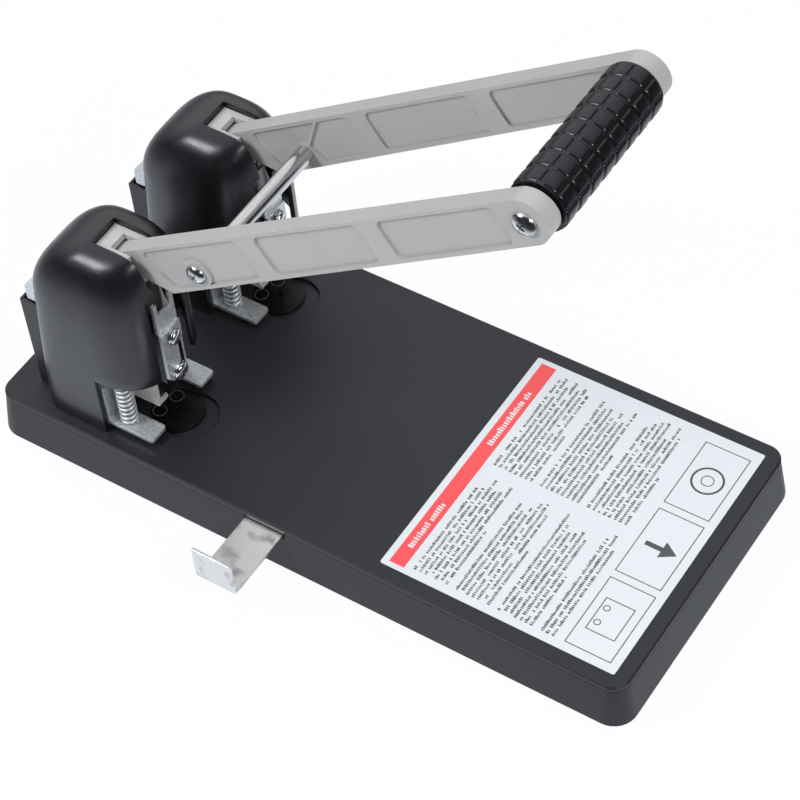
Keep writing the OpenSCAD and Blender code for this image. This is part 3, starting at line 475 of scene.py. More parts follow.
def weigh_edges(mesh, axis, full, fine):
    """Bevel weights: one on edges of faces that run across the piece, less on the others."""
    weights = mesh.attributes.new("bevel_weight_edge", "FLOAT", "EDGE")
    spans = {}
    for face in mesh.polygons:
        along = [mesh.vertices[v].co[axis] for v in face.vertices]
        for key in face.edge_keys:
            spans.setdefault(key, []).append((max(along) - min(along), face.normal.copy()))
    for edge in mesh.edges:
        sides = spans.get(edge.key, [])
        if len(sides) == 2 and sides[0][1].angle(sides[1][1], 0) > math.radians(SHARP_DEG):
            across = max(s for s, _ in sides) > full * MM
            weights.data[edge.index].value = 1.0 if across else fine


def merged_copy(node):
    """The node's mesh with its points joined and its flat faces made whole."""
    bm = bmesh.new()
    bm.from_mesh(nodes[node].data)
    bmesh.ops.remove_doubles(bm, verts=bm.verts, dist=MERGE_DIST * MM)
    bmesh.ops.dissolve_limit(bm, angle_limit=math.radians(FLAT_DEG), verts=bm.verts, edges=bm.edges)
    return as_mesh(bm, node + "_soft")


def soften(node, finish, width, segments=2):
    """A copy with rounded edges that stands for the node, on the node's own body."""
    body = nodes[node]["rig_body"]
    slot = nodes[node].data.materials[0].name.split(".")[0]
    piece = new_piece(node + "_soft", merged_copy(node), finish, body, node, slot=slot)
    round_edges(piece, width, segments)
    return piece


soften("base_housing", base_paint, 0.6, 3)
soften("base_top", base_paint, 0.7, 3)
soften("cross_rod", chrome, 0.4)
for side in SIDES:
    arm = soften("arm_" + side, arm_grey, 1.0, 3)
    weigh_edges(arm.data, axis=1, full=6.0, fine=0.45)
    arm.modifiers["rounded edges"].limit_method = "WEIGHT"
    soften("front_plate_" + side, zinc, 0.35)
    soften("frame_" + side, frame_grey, 0.3)
    # Painted shade: the guide blocks take the dark steel to stand in for the shadow in the hollow
    # under the front plates.
    soften("guide_block_" + side, dark_steel_and_shade, 0.3)
    soften("chip_box_" + side, box_black, 0.5)
    soften("chip_chute_" + side, zinc, 0.2)
    # The discs' finish carries painted shade from the hoods as well as their own black.
    soften("cutting_disc_" + side, disc_black, 0.15)
for foot in FEET:
    soften("foot_" + foot, zinc, 0.4)

# %% [markdown]
# ## Pieces that keep their solid
#
# Pins, screws inside the heads, the rail and the plates under the base are hardly seen.
# Their solids are right as they are, so they only take a better finish.

# %% Finishes on plain solids
kept = {"rubber_mat": mat_rubber, "bottom_plate": plate, "guide_rail": plate, "grip_core": plate,
        "base_screws": screws, "frame_screws": screws, "pivot_clips": dark_steel_and_shade}
for side in SIDES:
    for kind in ("pivot_pin", "carriage", "hollow_punch", "drive_pin"):
        kept[f"{kind}_{side}"] = pins
for foot in FEET:
    kept["foot_pin_" + foot] = pins
for node, finish in kept.items():
    nodes[node].data.materials[0] = finish.material
print("plain solids with a new finish:", len(kept))

# %% [markdown]
# ## The hoods
#
# Each hood is one moulded shell: a squarish oval seen from above, with straight walls that
# round over to a dome. The outline at each height is an oval with square shoulders, and a
# formula draws it in towards the crown. Cutting the skin along planes gives the openings
# clean edges. Solidify then adds the wall and Bevel rounds the rims.

# %% Hood skin
HOOD_MID, HOOD_HALF_W, HOOD_BACK_L, HOOD_NOSE_L = -12.1, 26.7, 34.6, 28.1
HOOD_TOP, HOOD_WALL, RIM_ROUND, RIM_DEG = 105.8, 2.2, 0.35, 60
SIDE_Z, BACK_Z, NOSE_Z, NOSE_IN = 41, 74, 72.6, 9.7
SIDE_ROUND, BACK_ROUND, NOSE_ROUND = 3.5, 1.66, 2
BACK_SHOULDER, FOOT_SHOULDER, FOOT_EASE, NOSE_SHOULDER = 3.6, 8.6, 1.5, 2.5
FOOT_CUT_Z, RING_STEP_DEG, CUT_DIST, JOIN_DIST = 35.3, 3, 0.02, 0.06
FAR = 200
HOOD_CUTS = {
    "over_the_feet": ((-12, -FAR, -1), (FAR, FAR, FOOT_CUT_Z)),
    "front": ((0, -12, 0), (FAR, 12, 86)),
    "lever_slot": ((-13.5, -8, 78), (FAR, 8, FAR)),
    "chip_window": ((-FAR, -17.6, -1), (-29.4, 17.6, 74.6)),
}


def kept_share(z, start, power):
    """The share of a half width that is left at a height: one up to start, none at the crown."""
    if z <= start:
        return 1.0
    return max(0.0, 1 - ((z - start) / (HOOD_TOP - start)) ** power) ** (1 / power)


def shoulder(value, power):
    """Turns a sine or cosine into that of an oval with square shoulders."""
    return math.copysign(abs(value) ** (2 / power), value)


def back_shoulder(z):
    """How square the back is at a height: most at the foot."""
    return BACK_SHOULDER + (FOOT_SHOULDER - BACK_SHOULDER) * max(0, 1 - z / BACK_Z) ** FOOT_EASE


def hood_ring(z, count):
    """The hood's outline at one height, as points round it."""
    half = HOOD_HALF_W * kept_share(z, SIDE_Z, SIDE_ROUND)
    back = HOOD_BACK_L * kept_share(z, BACK_Z, BACK_ROUND)
    nose = HOOD_NOSE_L - NOSE_IN * (1 - kept_share(z, NOSE_Z, NOSE_ROUND))
    ring = []
    for i in range(count):
        a = 2 * math.pi * i / count
        ahead = math.cos(a) > 0
        power = NOSE_SHOULDER if ahead else back_shoulder(z)
        x = HOOD_MID + shoulder(math.cos(a), power) * (nose if ahead else back)
        ring.append(Vector((x, shoulder(math.sin(a), power) * half, z)))
    return ring


def hood_skin(count=144):
    rise = HOOD_TOP - SIDE_Z
    heights = [0, 9, 18, 27, FOOT_CUT_Z]
    heights += [SIDE_Z + rise * math.sin(math.radians(a)) for a in range(0, 90, RING_STEP_DEG)]
    bm = bmesh.new()
    rings = [[bm.verts.new(p * MM) for p in hood_ring(z, count)] for z in heights]
    for low, high in zip(rings, rings[1:]):
        for i in range(count):
            j = (i + 1) % count
            bm.faces.new((low[i], low[j], high[j], high[i]))
    return bm


def cut_openings(bm):
    """Cuts the skin along the faces of each box, then takes out what lies inside one."""
    for low, high in HOOD_CUTS.values():
        for axis in range(3):
            for edge in (low[axis], high[axis]):
                if abs(edge) >= FAR or edge <= 0 and axis == 2:
                    continue
                normal = [0, 0, 0]
                normal[axis] = 1
                spot = [v * edge * MM for v in normal]
                bmesh.ops.bisect_plane(bm, geom=bm.verts[:] + bm.edges[:] + bm.faces[:],
                                       dist=CUT_DIST * MM, plane_co=spot, plane_no=normal)
    bmesh.ops.remove_doubles(bm, verts=bm.verts, dist=JOIN_DIST * MM)
    gone = []
    for face in bm.faces:
        c = face.calc_center_median() / MM
        if any(all(low[k] < c[k] < high[k] for k in range(3)) for low, high in HOOD_CUTS.values()):
            gone.append(face)
    bmesh.ops.delete(bm, geom=gone, context="FACES")
    return len(gone)


HEAD = Vector((-92, 40, 25))
for side, sign in SIDES.items():
    skin = hood_skin()
    removed = cut_openings(skin)
    bmesh.ops.recalc_face_normals(skin, faces=skin.faces)
    hood_mesh = as_mesh(skin, "hood_" + side)
    hood_mesh.transform(Matrix.Translation(Vector((HEAD.x, sign * HEAD.y, HEAD.z)) * MM))
    hood = new_piece(f"hood_{side}_shell", hood_mesh, hood_black, "base", "hood_" + side,
                     slot="hood_black")
    wall = hood.modifiers.new("wall", "SOLIDIFY")
    wall.thickness = HOOD_WALL * MM
    wall.offset = -1
    wall.use_even_offset = True
    rim = hood.modifiers.new("rim", "BEVEL")
    rim.width = RIM_ROUND * MM
    rim.segments = 2
    rim.limit_method = "ANGLE"
    rim.angle_limit = math.radians(RIM_DEG)
    hood_mesh.polygons.foreach_set("use_smooth", [True] * len(hood_mesh.polygons))
    print(hood.name, "faces", len(hood_mesh.polygons), "cut away", removed)

# %% [markdown]
# ## Recipes for repeats
#
# Springs, tiles, screws and lines of print repeat one shape by a rule, which is what
# Geometry Nodes are for. A recipe is a tree with named sizes. Making it turns the result
# into a plain mesh, so that nothing is left to evaluate later.

# %% Geometry recipes
KINDS = {float: "NodeSocketFloat", int: "NodeSocketInt"}


class Recipe(Graph):
    """A Geometry Nodes tree with named sizes, made into plain meshes."""

    def __init__(self, name, **sizes):
        super().__init__(bpy.data.node_groups.new(name, "GeometryNodeTree"))
        face = self.tree.interface
        face.new_socket("Geometry", in_out="INPUT", socket_type="NodeSocketGeometry")
        face.new_socket("Geometry", in_out="OUTPUT", socket_type="NodeSocketGeometry")
        for key, value in sizes.items():
            socket = face.new_socket(key, in_out="INPUT", socket_type=KINDS[type(value)])
            socket.default_value = value
        self.entry = self.tree.nodes.new("NodeGroupInput")
        self.exit = self.tree.nodes.new("NodeGroupOutput")

    def size(self, name):
        return Wire(self, self.entry.outputs[name])

    def spot(self, x, y, z):
        return self.add("ShaderNodeCombineXYZ", {}, {"X": x, "Y": y, "Z": z})

    def done(self, geometry, finish):
        plain_mesh = self.add("GeometryNodeRealizeInstances", {}, {"Geometry": geometry})
        painted = self.add("GeometryNodeSetMaterial", {},
                           {"Geometry": plain_mesh, "Material": finish.material})
        self.feed(self.exit.inputs["Geometry"], painted)

    def make(self, name, start=None, **sizes):
        maker = linked(name, start or bpy.data.meshes.new(name))
        modifier = maker.modifiers.new("recipe", "NODES")
        modifier.node_group = self.tree
        for item in self.tree.interface.items_tree:
            if item.item_type == "SOCKET" and item.in_out == "INPUT" and item.name in sizes:
                modifier[item.identifier] = sizes[item.name]
        mesh = evaluated(maker)
        maker.modifiers.remove(modifier)
        bpy.data.objects.remove(maker)
        mesh.name = name
        return mesh


print("recipes can be written")

# %% [markdown]
# ## Springs
#
# A compression spring is one wire wound round an axis, with its end turns closed so that it
# stands straight. A line of points is bent into that path by a sum on the point's number,
# and a round section follows it.

# %% Wound springs
STEPS = 28
DEAD_TURN, CLOSED_PITCH = 0.8, 1.03
spring = Recipe("wound_spring", Radius=0.004, Wire=0.001, Turns=10, Length=0.03)
turns = spring.size("Turns")
wire = spring.size("Wire")
count = turns * STEPS
line = spring.add("GeometryNodeMeshLine", {}, {"Count": count + 1})
number = spring.add("GeometryNodeInputIndex")
angle = number * (2 * math.pi / STEPS)
along = number / STEPS
rise = spring.size("Length") - wire
closed = wire * CLOSED_PITCH
spare = rise - closed * turns
opened = spring.maths("MAXIMUM", (along - DEAD_TURN) / (turns - 2 * DEAD_TURN), 0.0)
opened = spring.maths("MINIMUM", opened, 1.0)
height = wire / 2 + closed * along + spare * opened
radius = spring.size("Radius")
path_spot = spring.spot(radius * spring.maths("COSINE", angle),
                        radius * spring.maths("SINE", angle), height)
bent = spring.add("GeometryNodeSetPosition", {}, {"Geometry": line, "Position": path_spot})
curve = spring.add("GeometryNodeMeshToCurve", {}, {"Mesh": bent})
section = spring.add("GeometryNodeCurvePrimitiveCircle", {}, {"Resolution": 10, "Radius": wire / 2})
tube = spring.add("GeometryNodeCurveToMesh", {},
                  {"Curve": curve, "Profile Curve": section, "Fill Caps": True})
spring.done(spring.add("GeometryNodeSetShadeSmooth", {}, {"Geometry": tube}), zinc)

RETURN_SPRING = {"low": 56, "length": 20.70, "across": 13.0, "thick": 1.2, "loops": 4,
                 "fixed": 56, "keep": 0.384}
FOOT_SPRING = {"low": 30.05, "length": 33.95, "across": 8.3, "thick": 1.4, "loops": 12,
               "fixed": 64, "keep": 0.676}
FOOT_X, FOOT_SIDE = -96, 18.3
SPRINGS = []
for side, sign in SIDES.items():
    SPRINGS.append(("return_spring_" + side, HEAD.x, HEAD.y * sign, f"punch_{side}_slide",
                    RETURN_SPRING))
for foot in FEET:
    way = -1 if foot in ("left_outer", "right_inner") else 1
    y = HEAD.y * SIDES[foot.split("_")[0]] + FOOT_SIDE * way
    SPRINGS.append(("foot_spring_" + foot, FOOT_X, y, f"presser_{foot}_slide", FOOT_SPRING))
for node, x, y, joint, kind in SPRINGS:
    mesh = spring.make(node + "_wire", Radius=(kind["across"] - kind["thick"]) / 2 * MM,
                       Wire=kind["thick"] * MM, Turns=kind["loops"], Length=kind["length"] * MM)
    mesh.transform(Matrix.Translation(Vector((x, y, kind["low"])) * MM))
    piece = new_piece(node + "_wire", mesh, None, "base", node, slot="zinc_steel")
    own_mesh(piece)
print("springs wound:", len(SPRINGS))

# %% [markdown]
# ## The grip
#
# The rubber grip is a sleeve covered with raised tiles, in rows along and rings round. One
# tile is a block whose top is drawn in at its border and whose plan is wrapped round the
# sleeve. Points, one per tile, turn it into place.

# %% Tiled grip
ARM_ANGLE, ARM_REACH, ARM_DROP = math.radians(34.3), 270.0, 12.1
PIVOT = Vector((-122, 0, 105)) * MM
lever = Matrix.Translation(PIVOT) @ Matrix.Rotation(-ARM_ANGLE, 4, "Y")
TILE_CELLS, TILE_CROWD, TILE_EDGE = 8, 0.45, 11
TILE_DEEP, TILE_SETTLE, SLEEVE_SIDES = 0.0006, 0.0002, 96
tiles = Recipe("raised_tiles", Radius=0.0125, Groove=0.0009, Gap=0.0011, Rows=8, Round=10,
               Reach=0.0348, Phase=0.0)
sleeve = tiles.size("Radius") - tiles.size("Groove")
row_l = tiles.size("Reach") * 2 / tiles.size("Rows")
ring_l = tiles.size("Radius") * (2 * math.pi) / tiles.size("Round")
half_u = (ring_l - tiles.size("Gap")) / 2
half_v = (row_l - tiles.size("Gap")) / 2
block = tiles.add("GeometryNodeMeshCube", {}, {"Size": (2, 2, 2), "Vertices X": TILE_CELLS + 1,
                                               "Vertices Y": TILE_CELLS + 1, "Vertices Z": 2})
split = tiles.tree.nodes.new("ShaderNodeSeparateXYZ")
tiles.feed(split.inputs[0], tiles.add("GeometryNodeInputPosition"))
bu, bv, bw = [Wire(tiles, s) for s in split.outputs]


def crowded(value):
    """Moves the inner lines of the block towards its border, where the edge is rounded."""
    return tiles.maths("SIGN", value) * tiles.maths("ABSOLUTE", value) ** TILE_CROWD


def border(value):
    """One on the flat top and falling off in the last part before the border."""
    return 1 - tiles.maths("ABSOLUTE", value) ** TILE_EDGE


raised = (tiles.maths("MAXIMUM", bw, 0.0) * tiles.size("Groove")
          * border(crowded(bu)) * border(crowded(bv)))
sunk = tiles.maths("MAXIMUM", 0.0 - bw, 0.0) * -TILE_DEEP
tile_r = sleeve + raised + sunk - TILE_SETTLE
tile_a = crowded(bu) * half_u / tiles.size("Radius")
tile_spot = tiles.spot(tile_r * tiles.maths("SINE", tile_a), crowded(bv) * half_v,
                       tile_r * tiles.maths("COSINE", tile_a))
shaped = tiles.add("GeometryNodeSetPosition", {}, {"Geometry": block, "Position": tile_spot})
tile = tiles.add("GeometryNodeSetShadeSmooth", {}, {"Geometry": shaped})
tile_count = tiles.size("Rows") * tiles.size("Round")
tile_points = tiles.add("GeometryNodeMeshLine", {}, {"Count": tile_count})
tile_number = tiles.add("GeometryNodeInputIndex")
tile_row = tiles.maths("FLOOR", (tile_number + 0.5) / tiles.size("Round"))
tile_turn = tile_number * (2 * math.pi) / tiles.size("Round") + tiles.size("Phase")
row_y = (tile_row + 0.5) * row_l - tiles.size("Reach")
row_spot = tiles.spot(0.0, row_y, 0.0)
tile_places = tiles.add("GeometryNodeSetPosition", {},
                        {"Geometry": tile_points, "Position": row_spot})
tile_aim = tiles.spot(0.0, tile_turn, 0.0)
all_tiles = tiles.add("GeometryNodeInstanceOnPoints", {},
                      {"Points": tile_places, "Instance": tile, "Rotation": tile_aim})
body_tube = tiles.add("GeometryNodeMeshCylinder", {"fill_type": "NGON"},
                      {"Vertices": SLEEVE_SIDES, "Radius": sleeve,
                       "Depth": tiles.size("Reach") * 2})
laid = tiles.add("GeometryNodeTransform", {},
                 {"Geometry": body_tube, "Rotation": (math.pi / 2, 0, 0)})
join = tiles.tree.nodes.new("GeometryNodeJoinGeometry")
tiles.tree.links.new(all_tiles.socket, join.inputs[0])
tiles.tree.links.new(laid.socket, join.inputs[0])
tiles.done(Wire(tiles, join.outputs[0]), grip_rubber)

grip_mesh = tiles.make("grip_tiles", Radius=12.5 * MM, Groove=0.8 * MM, Gap=0.9 * MM, Rows=8,
                       Round=10, Reach=34.8 * MM, Phase=math.radians(20.5))
grip_mesh.transform(lever @ Matrix.Translation(Vector((ARM_REACH, 0, -ARM_DROP)) * MM))
new_piece("grip_tiles", grip_mesh, None, "handle", "grip", slot="grip_rubber")
print("grip faces:", len(grip_mesh.polygons))

# %% [markdown]
# ## Cross-head screws
#
# The screws on the arms and the front plates are pan heads: a low dome with a cross cut into
# it, on a washer where it holds a plate. One screw is turned from a profile, the cross is
# taken out with a Boolean, and points that carry a direction put copies where the real ones
# are.

# %% Pan-head screw
CROSS_L, CROSS_W, CROSS_DEEP, CROSS_TAPER = 1.1, 0.22, 1.3, 0.35
DOME_ROUND, DOME_EDGE, CHAMFER = 0.95, 0.15, 0.2
SKIRT, UNDERCUT, CREASE_DEG = 0.1, 0.985, 32


def turned(profile, count=48):
    """A closed solid turned round Z from a profile of (radius, height) pairs, top to bottom."""
    bm = bmesh.new()
    angles = [2 * math.pi * i / count for i in range(count)]
    rings = []
    for r, z in profile:
        if r == 0:
            rings.append([bm.verts.new((0, 0, z))] * count)
        else:
            rings.append([bm.verts.new((r * math.cos(a), r * math.sin(a), z)) for a in angles])
    for a, b in zip(rings, rings[1:]):
        for i in range(count):
            j = (i + 1) % count
            corners = []
            for v in (a[i], b[i], b[j], a[j]):
                if v not in corners:
                    corners.append(v)
            if len(corners) > 2:
                bm.faces.new(corners)
    bmesh.ops.recalc_face_normals(bm, faces=bm.faces)
    return as_mesh(bm, "turned")


def pan_head(head_r, high, shank_r, shank_l, washer_r=0.0, washer_t=0.0):
    """One screw that points down, with its washer and its head above z = 0."""
    top = washer_t + high
    dome = [(0, top)]
    for k in range(1, 10):
        a = math.radians(10 * k)
        level = DOME_EDGE + (1 - DOME_EDGE) * math.cos(a)
        dome.append((head_r * math.sin(a) ** DOME_ROUND, washer_t + high * level))
    dome += [(head_r, washer_t + high * SKIRT), (head_r * UNDERCUT, washer_t)]
    if washer_t > 0:
        dome += [(washer_r - CHAMFER, washer_t), (washer_r, washer_t - CHAMFER), (washer_r, 0)]
    dome += [(shank_r, 0), (shank_r, -shank_l), (0, -shank_l)]
    screw = linked("one_screw", turned([(r * MM, z * MM) for r, z in dome]))
    bm = bmesh.new()
    for turn_deg in (0, 90):
        bar = bmesh.ops.create_cube(bm, size=1)["verts"]
        size = (CROSS_L * head_r, CROSS_W * head_r, CROSS_DEEP * high)
        bmesh.ops.scale(bm, verts=bar, vec=[s * MM for s in size])
        for v in bar:
            if v.co.z < 0:
                v.co.x *= CROSS_TAPER
        bmesh.ops.translate(bm, verts=bar, vec=(0, 0, top * MM))
        bmesh.ops.rotate(bm, verts=bar, matrix=Matrix.Rotation(math.radians(turn_deg), 3, "Z"))
    cutter = linked("cross_cutter", as_mesh(bm, "cross_cutter"))
    cut = screw.modifiers.new("cross", "BOOLEAN")
    cut.object = cutter
    cut.solver = "EXACT"
    cut.use_self = True
    done = evaluated(screw)
    screw.modifiers.clear()
    screw.data = done
    bpy.data.objects.remove(cutter)
    done.polygons.foreach_set("use_smooth", [True] * len(done.polygons))
    done.set_sharp_from_angle(angle=math.radians(CREASE_DEG))
    return screw


def screws_at(name, screw, spots, body, node):
    """Copies of one screw at spots, each a place in millimetres and an Euler turn."""
    recipe = Recipe(name)
    shape = recipe.add("GeometryNodeObjectInfo", {}, {"Object": screw}, out="Geometry")
    aim = recipe.add("GeometryNodeInputNamedAttribute", {"data_type": "FLOAT_VECTOR"},
                     {"Name": "aim"})
    copies = recipe.add("GeometryNodeInstanceOnPoints", {},
                        {"Points": recipe.size("Geometry"), "Instance": shape, "Rotation": aim})
    recipe.done(copies, screws)
    start = bpy.data.meshes.new(name + "_points")
    start.from_pydata([Vector(p) * MM for p, _ in spots], [], [])
    store = start.attributes.new("aim", "FLOAT_VECTOR", "POINT")
    for item, (_, euler) in zip(store.data, spots):
        item.vector = euler
    mesh = recipe.make(name, start)
    return new_piece(name, mesh, None, body, node, slot="screw_steel")


def on_lever(u, y, v):
    """A point along the lever, across it and above its middle line, in the object's frame."""
    return tuple((lever @ (Vector((u, y, v)) * MM)) / MM)


ROD_REACH, ROD_V, ARM_FACE_Y = 73.9, -14.1, 44
PLATE_FACE_X, FRONT_SCREW_Z = 13.8, (31.2, 53.2)
FRONT_TURN, ARM_TURN = 0.3, 0.6
front_screw = pan_head(head_r=4.0, high=2.6, shank_r=2.0, shank_l=4.8, washer_r=4.4, washer_t=1.0)
front_spots = [((HEAD.x + PLATE_FACE_X, HEAD.y * sign, HEAD.z + z),
                (0, math.pi / 2, FRONT_TURN * k))
               for sign in SIDES.values() for k, z in enumerate(FRONT_SCREW_Z)]
screws_at("front_plate_screws_pan", front_screw, front_spots, "base", "front_plate_screws")
rod_screw = pan_head(head_r=4.8, high=2.9, shank_r=2.2, shank_l=14)
grip_screw = pan_head(head_r=5.3, high=3.0, shank_r=3.0, shank_l=14)
for name, screw, u, v in (("rod_screws", rod_screw, ROD_REACH, ROD_V),
                          ("grip_screws", grip_screw, ARM_REACH, -ARM_DROP)):
    spots = [(on_lever(u, ARM_FACE_Y * sign, v), (-sign * math.pi / 2, ARM_TURN, 0))
             for sign in SIDES.values()]
    screws_at(name + "_pan", screw, spots, "handle", name)
for screw in (front_screw, rod_screw, grip_screw):
    bpy.data.objects.remove(screw)
print("screws placed:", len(front_spots), "on the plates and two pairs on the arms")

# %% [markdown]
# ## The side guide
#
# The guide is one strip of nickel sheet with its end bent up. Sheet metal bends round a
# radius, so the section is drawn with an outer and an inner arc and pushed across the width.

# %% Bent strip
GUIDE_X, GUIDE_HALF = -15, 10
GUIDE_LOW, GUIDE_T, GUIDE_END = 20, 1.5, 40
GUIDE_TAIL, GUIDE_STOP = 20, -107
BEND_IN, STRIP_ROUND, STRIP_DEG = 1.2, 0.3, 50


def arc(centre, radius, start, stop, count=7):
    """Points along part of a circle, from one angle in degrees to another."""
    angles = [math.radians(start + (stop - start) * i / (count - 1)) for i in range(count)]
    return [(centre[0] + radius * math.cos(a), centre[1] + radius * math.sin(a)) for a in angles]


bend_at = (GUIDE_STOP + BEND_IN, GUIDE_LOW + GUIDE_T + BEND_IN)
section = [(GUIDE_TAIL, GUIDE_LOW + GUIDE_T), (GUIDE_TAIL, GUIDE_LOW)]
section += arc(bend_at, BEND_IN + GUIDE_T, 270, 180)
section += [(GUIDE_STOP - GUIDE_T, GUIDE_END), (GUIDE_STOP, GUIDE_END)]
section += arc(bend_at, BEND_IN, 180, 270)
strip = bmesh.new()
ends = [[strip.verts.new((x * MM, y * MM, z * MM)) for y, z in section]
        for x in (GUIDE_X - GUIDE_HALF, GUIDE_X + GUIDE_HALF)]
strip.faces.new(ends[0])
strip.faces.new(reversed(ends[1]))
for i in range(len(section)):
    j = (i + 1) % len(section)
    strip.faces.new((ends[0][j], ends[0][i], ends[1][i], ends[1][j]))
bmesh.ops.recalc_face_normals(strip, faces=strip.faces)
strip_mesh = as_mesh(strip, "guide_strip")
guide_strip = new_piece("guide_strip", strip_mesh, nickel, "side_guide", "paper_guide",
                        slot="guide_nickel")
round_edges(guide_strip, STRIP_ROUND, angle=STRIP_DEG)
print("guide strip faces:", len(strip_mesh.polygons))

# %% [markdown]
# ## The sticker
#
# The film is a thin sheet with slightly rounded corners. Its print is generic: a red band,
# rows of small grey ticks in place of words, and three plain signs in boxes. The ticks repeat
# on a grid, so a recipe lays them, with a seeded size for each and seeded gaps between words.

# %% Film and print
FILM_LOW, FILM_HIGH, FILM_HALF, FILM_Z, FILM_T = 40.7, 154.7, 65.5, 25.0, 0.2
FILM_CORNER, INK_T = 1.0, 0.03


def flat_sheet(name, outlines, z, thick):
    """Closed flat shapes from outlines in millimetres."""
    bm = bmesh.new()
    for outline in outlines:
        low = [bm.verts.new((x * MM, y * MM, z * MM)) for x, y in outline]
        high = [bm.verts.new((x * MM, y * MM, (z + thick) * MM)) for x, y in outline]
        bm.faces.new(reversed(low))
        bm.faces.new(high)
        for i in range(len(outline)):
            j = (i + 1) % len(outline)
            bm.faces.new((low[i], low[j], high[j], high[i]))
    bmesh.ops.recalc_face_normals(bm, faces=bm.faces)
    return as_mesh(bm, name)


def oblong(x0, y0, x1, y1, r=0.0):
    """A rectangle's outline, with round corners where r is given."""
    if r == 0:
        return [(x0, y0), (x1, y0), (x1, y1), (x0, y1)]
    return (arc((x1 - r, y0 + r), r, 270, 360, 5) + arc((x1 - r, y1 - r), r, 0, 90, 5)
            + arc((x0 + r, y1 - r), r, 90, 180, 5) + arc((x0 + r, y0 + r), r, 180, 270, 5))


film_outline = oblong(FILM_LOW, -FILM_HALF, FILM_HIGH, FILM_HALF, FILM_CORNER)
film_mesh = flat_sheet("sticker_film", [film_outline], FILM_Z, FILM_T)
new_piece("sticker_film", film_mesh, film, "base", "sticker", slot="sticker_film")
INK_Z = FILM_Z + FILM_T
BAND_LOW, BAND_HIGH, BAND_MARGIN = FILM_LOW + 3.2, FILM_LOW + 10.6, 2.5
band_outline = oblong(BAND_LOW, -FILM_HALF + BAND_MARGIN, BAND_HIGH, FILM_HALF - BAND_MARGIN)
band_mesh = flat_sheet("sticker_band", [band_outline], INK_Z, INK_T)
new_piece("sticker_band", band_mesh, red_ink, "base", slot="sticker_film")

ticks = Recipe("print_ticks", Columns=50, Rows=20, Step=0.0012, Pitch=0.0033, Tall=0.0017,
               Thick=0.00003, Gap_Row=6, Seed=3)
cells = ticks.add("GeometryNodeMeshLine", {}, {"Count": ticks.size("Columns") * ticks.size("Rows")})
cell_number = ticks.add("GeometryNodeInputIndex")
cell_row = ticks.maths("FLOOR", (cell_number + 0.5) / ticks.size("Columns"))
cell_column = cell_number - cell_row * ticks.size("Columns")


def chance(low, high, number, nth):
    """A seeded random value per number, another one for each nth."""
    draw = {"Min": low, "Max": high, "ID": number, "Seed": ticks.size("Seed") + nth}
    return ticks.add("FunctionNodeRandomValue", {"data_type": "FLOAT"}, draw, out=1)


WORD_GAPS, SHORTER = 0.13, 0.45
LONG_SHARE, WIDE_SHARE, ROW_REACH = (0.6, 1.0), (0.45, 0.85), (0.82, 1.0)
tick_l = chance(*LONG_SHARE, cell_number, 0) * ticks.size("Tall")
tick_w = chance(*WIDE_SHARE, cell_number, 1) * ticks.size("Step")
in_word = ticks.maths("GREATER_THAN", chance(0.0, 1.0, cell_number, 2), WORD_GAPS)
row_end = chance(*ROW_REACH, cell_row, 3)
row_left = ticks.maths("MODULO", cell_row, ticks.size("Gap_Row"))
blank_row = ticks.maths("COMPARE", row_left, ticks.size("Gap_Row") - 1, 0.1)
short_row = ticks.maths("COMPARE", row_left, ticks.size("Gap_Row") - 2, 0.1)
row_share = row_end * (1 - SHORTER * short_row) * (1 - blank_row)
in_row = ticks.maths("LESS_THAN", cell_column, row_share * ticks.size("Columns"))
cell_spot = ticks.spot(cell_row * ticks.size("Pitch") - tick_l / 2,
                       cell_column * ticks.size("Step"), 0.0)
cell_places = ticks.add("GeometryNodeSetPosition", {}, {"Geometry": cells, "Position": cell_spot})
tick = ticks.add("GeometryNodeMeshCube", {}, {"Size": (1, 1, 1)})
tick_size = ticks.spot(tick_l, tick_w, ticks.size("Thick"))
print_marks = ticks.add("GeometryNodeInstanceOnPoints", {},
                        {"Points": cell_places, "Selection": in_word * in_row, "Instance": tick,
                         "Scale": tick_size})
ticks.done(print_marks, grey_ink)


def lay_print(name, x, y, z, ink, **sizes):
    """Lays one block of ticks with its corner at a place in millimetres."""
    mesh = ticks.make(name, Thick=INK_T * MM, **sizes)
    mesh.transform(Matrix.Translation(Vector((x, y, z + INK_T / 2)) * MM))
    new_piece(name, mesh, ink, "base", slot="sticker_film")


TEXT_LOW, TITLE_LOW = BAND_HIGH + 5, BAND_HIGH - 2.2
TEXT_COLUMNS = ((-FILM_HALF + 4.5, 5), (3.5, 11))
TITLES = ((-52, 20), (12, 26))
for column, (start_y, seed) in enumerate(TEXT_COLUMNS):
    lay_print(f"sticker_text_{column}", TEXT_LOW, start_y, INK_Z, grey_ink, Columns=54, Rows=27,
              Step=1.07 * MM, Pitch=2.6 * MM, Tall=1.55 * MM, Gap_Row=8 + column, Seed=seed)
for k, (start_y, count) in enumerate(TITLES):
    lay_print(f"sticker_title_{k}", TITLE_LOW, start_y, INK_Z + INK_T, film, Columns=count, Rows=1,
              Step=1.5 * MM, Tall=3.0 * MM, Gap_Row=9, Seed=20 + k)
print("sticker print laid in two columns under its title")

# %% [markdown]
# Three signs sit in boxes along the sticker's front edge: a sheet with two holes, an arrow
# and a ring. They are plain shapes that any office tool might carry.

# %% Signs on the sticker
SIGN_LOW, SIGN_HIGH = FILM_HIGH - 26, FILM_HIGH - 4
SIGN_W, SIGN_GAP, SIGN_MARGIN, LINE_W = 38.0, 3.6, 4.2, 0.45
SHEET_X, SHEET_Y, HOLE_OFF, HOLE_R = 7, 9, 4, 1.6
TAIL, NECK, TIP, SHAFT_HALF, BARB_HALF = -7, 1, 8, 1.2, 4.5
RING_R, RING_W, EYE_R = 7.5, 1.0, 3.0


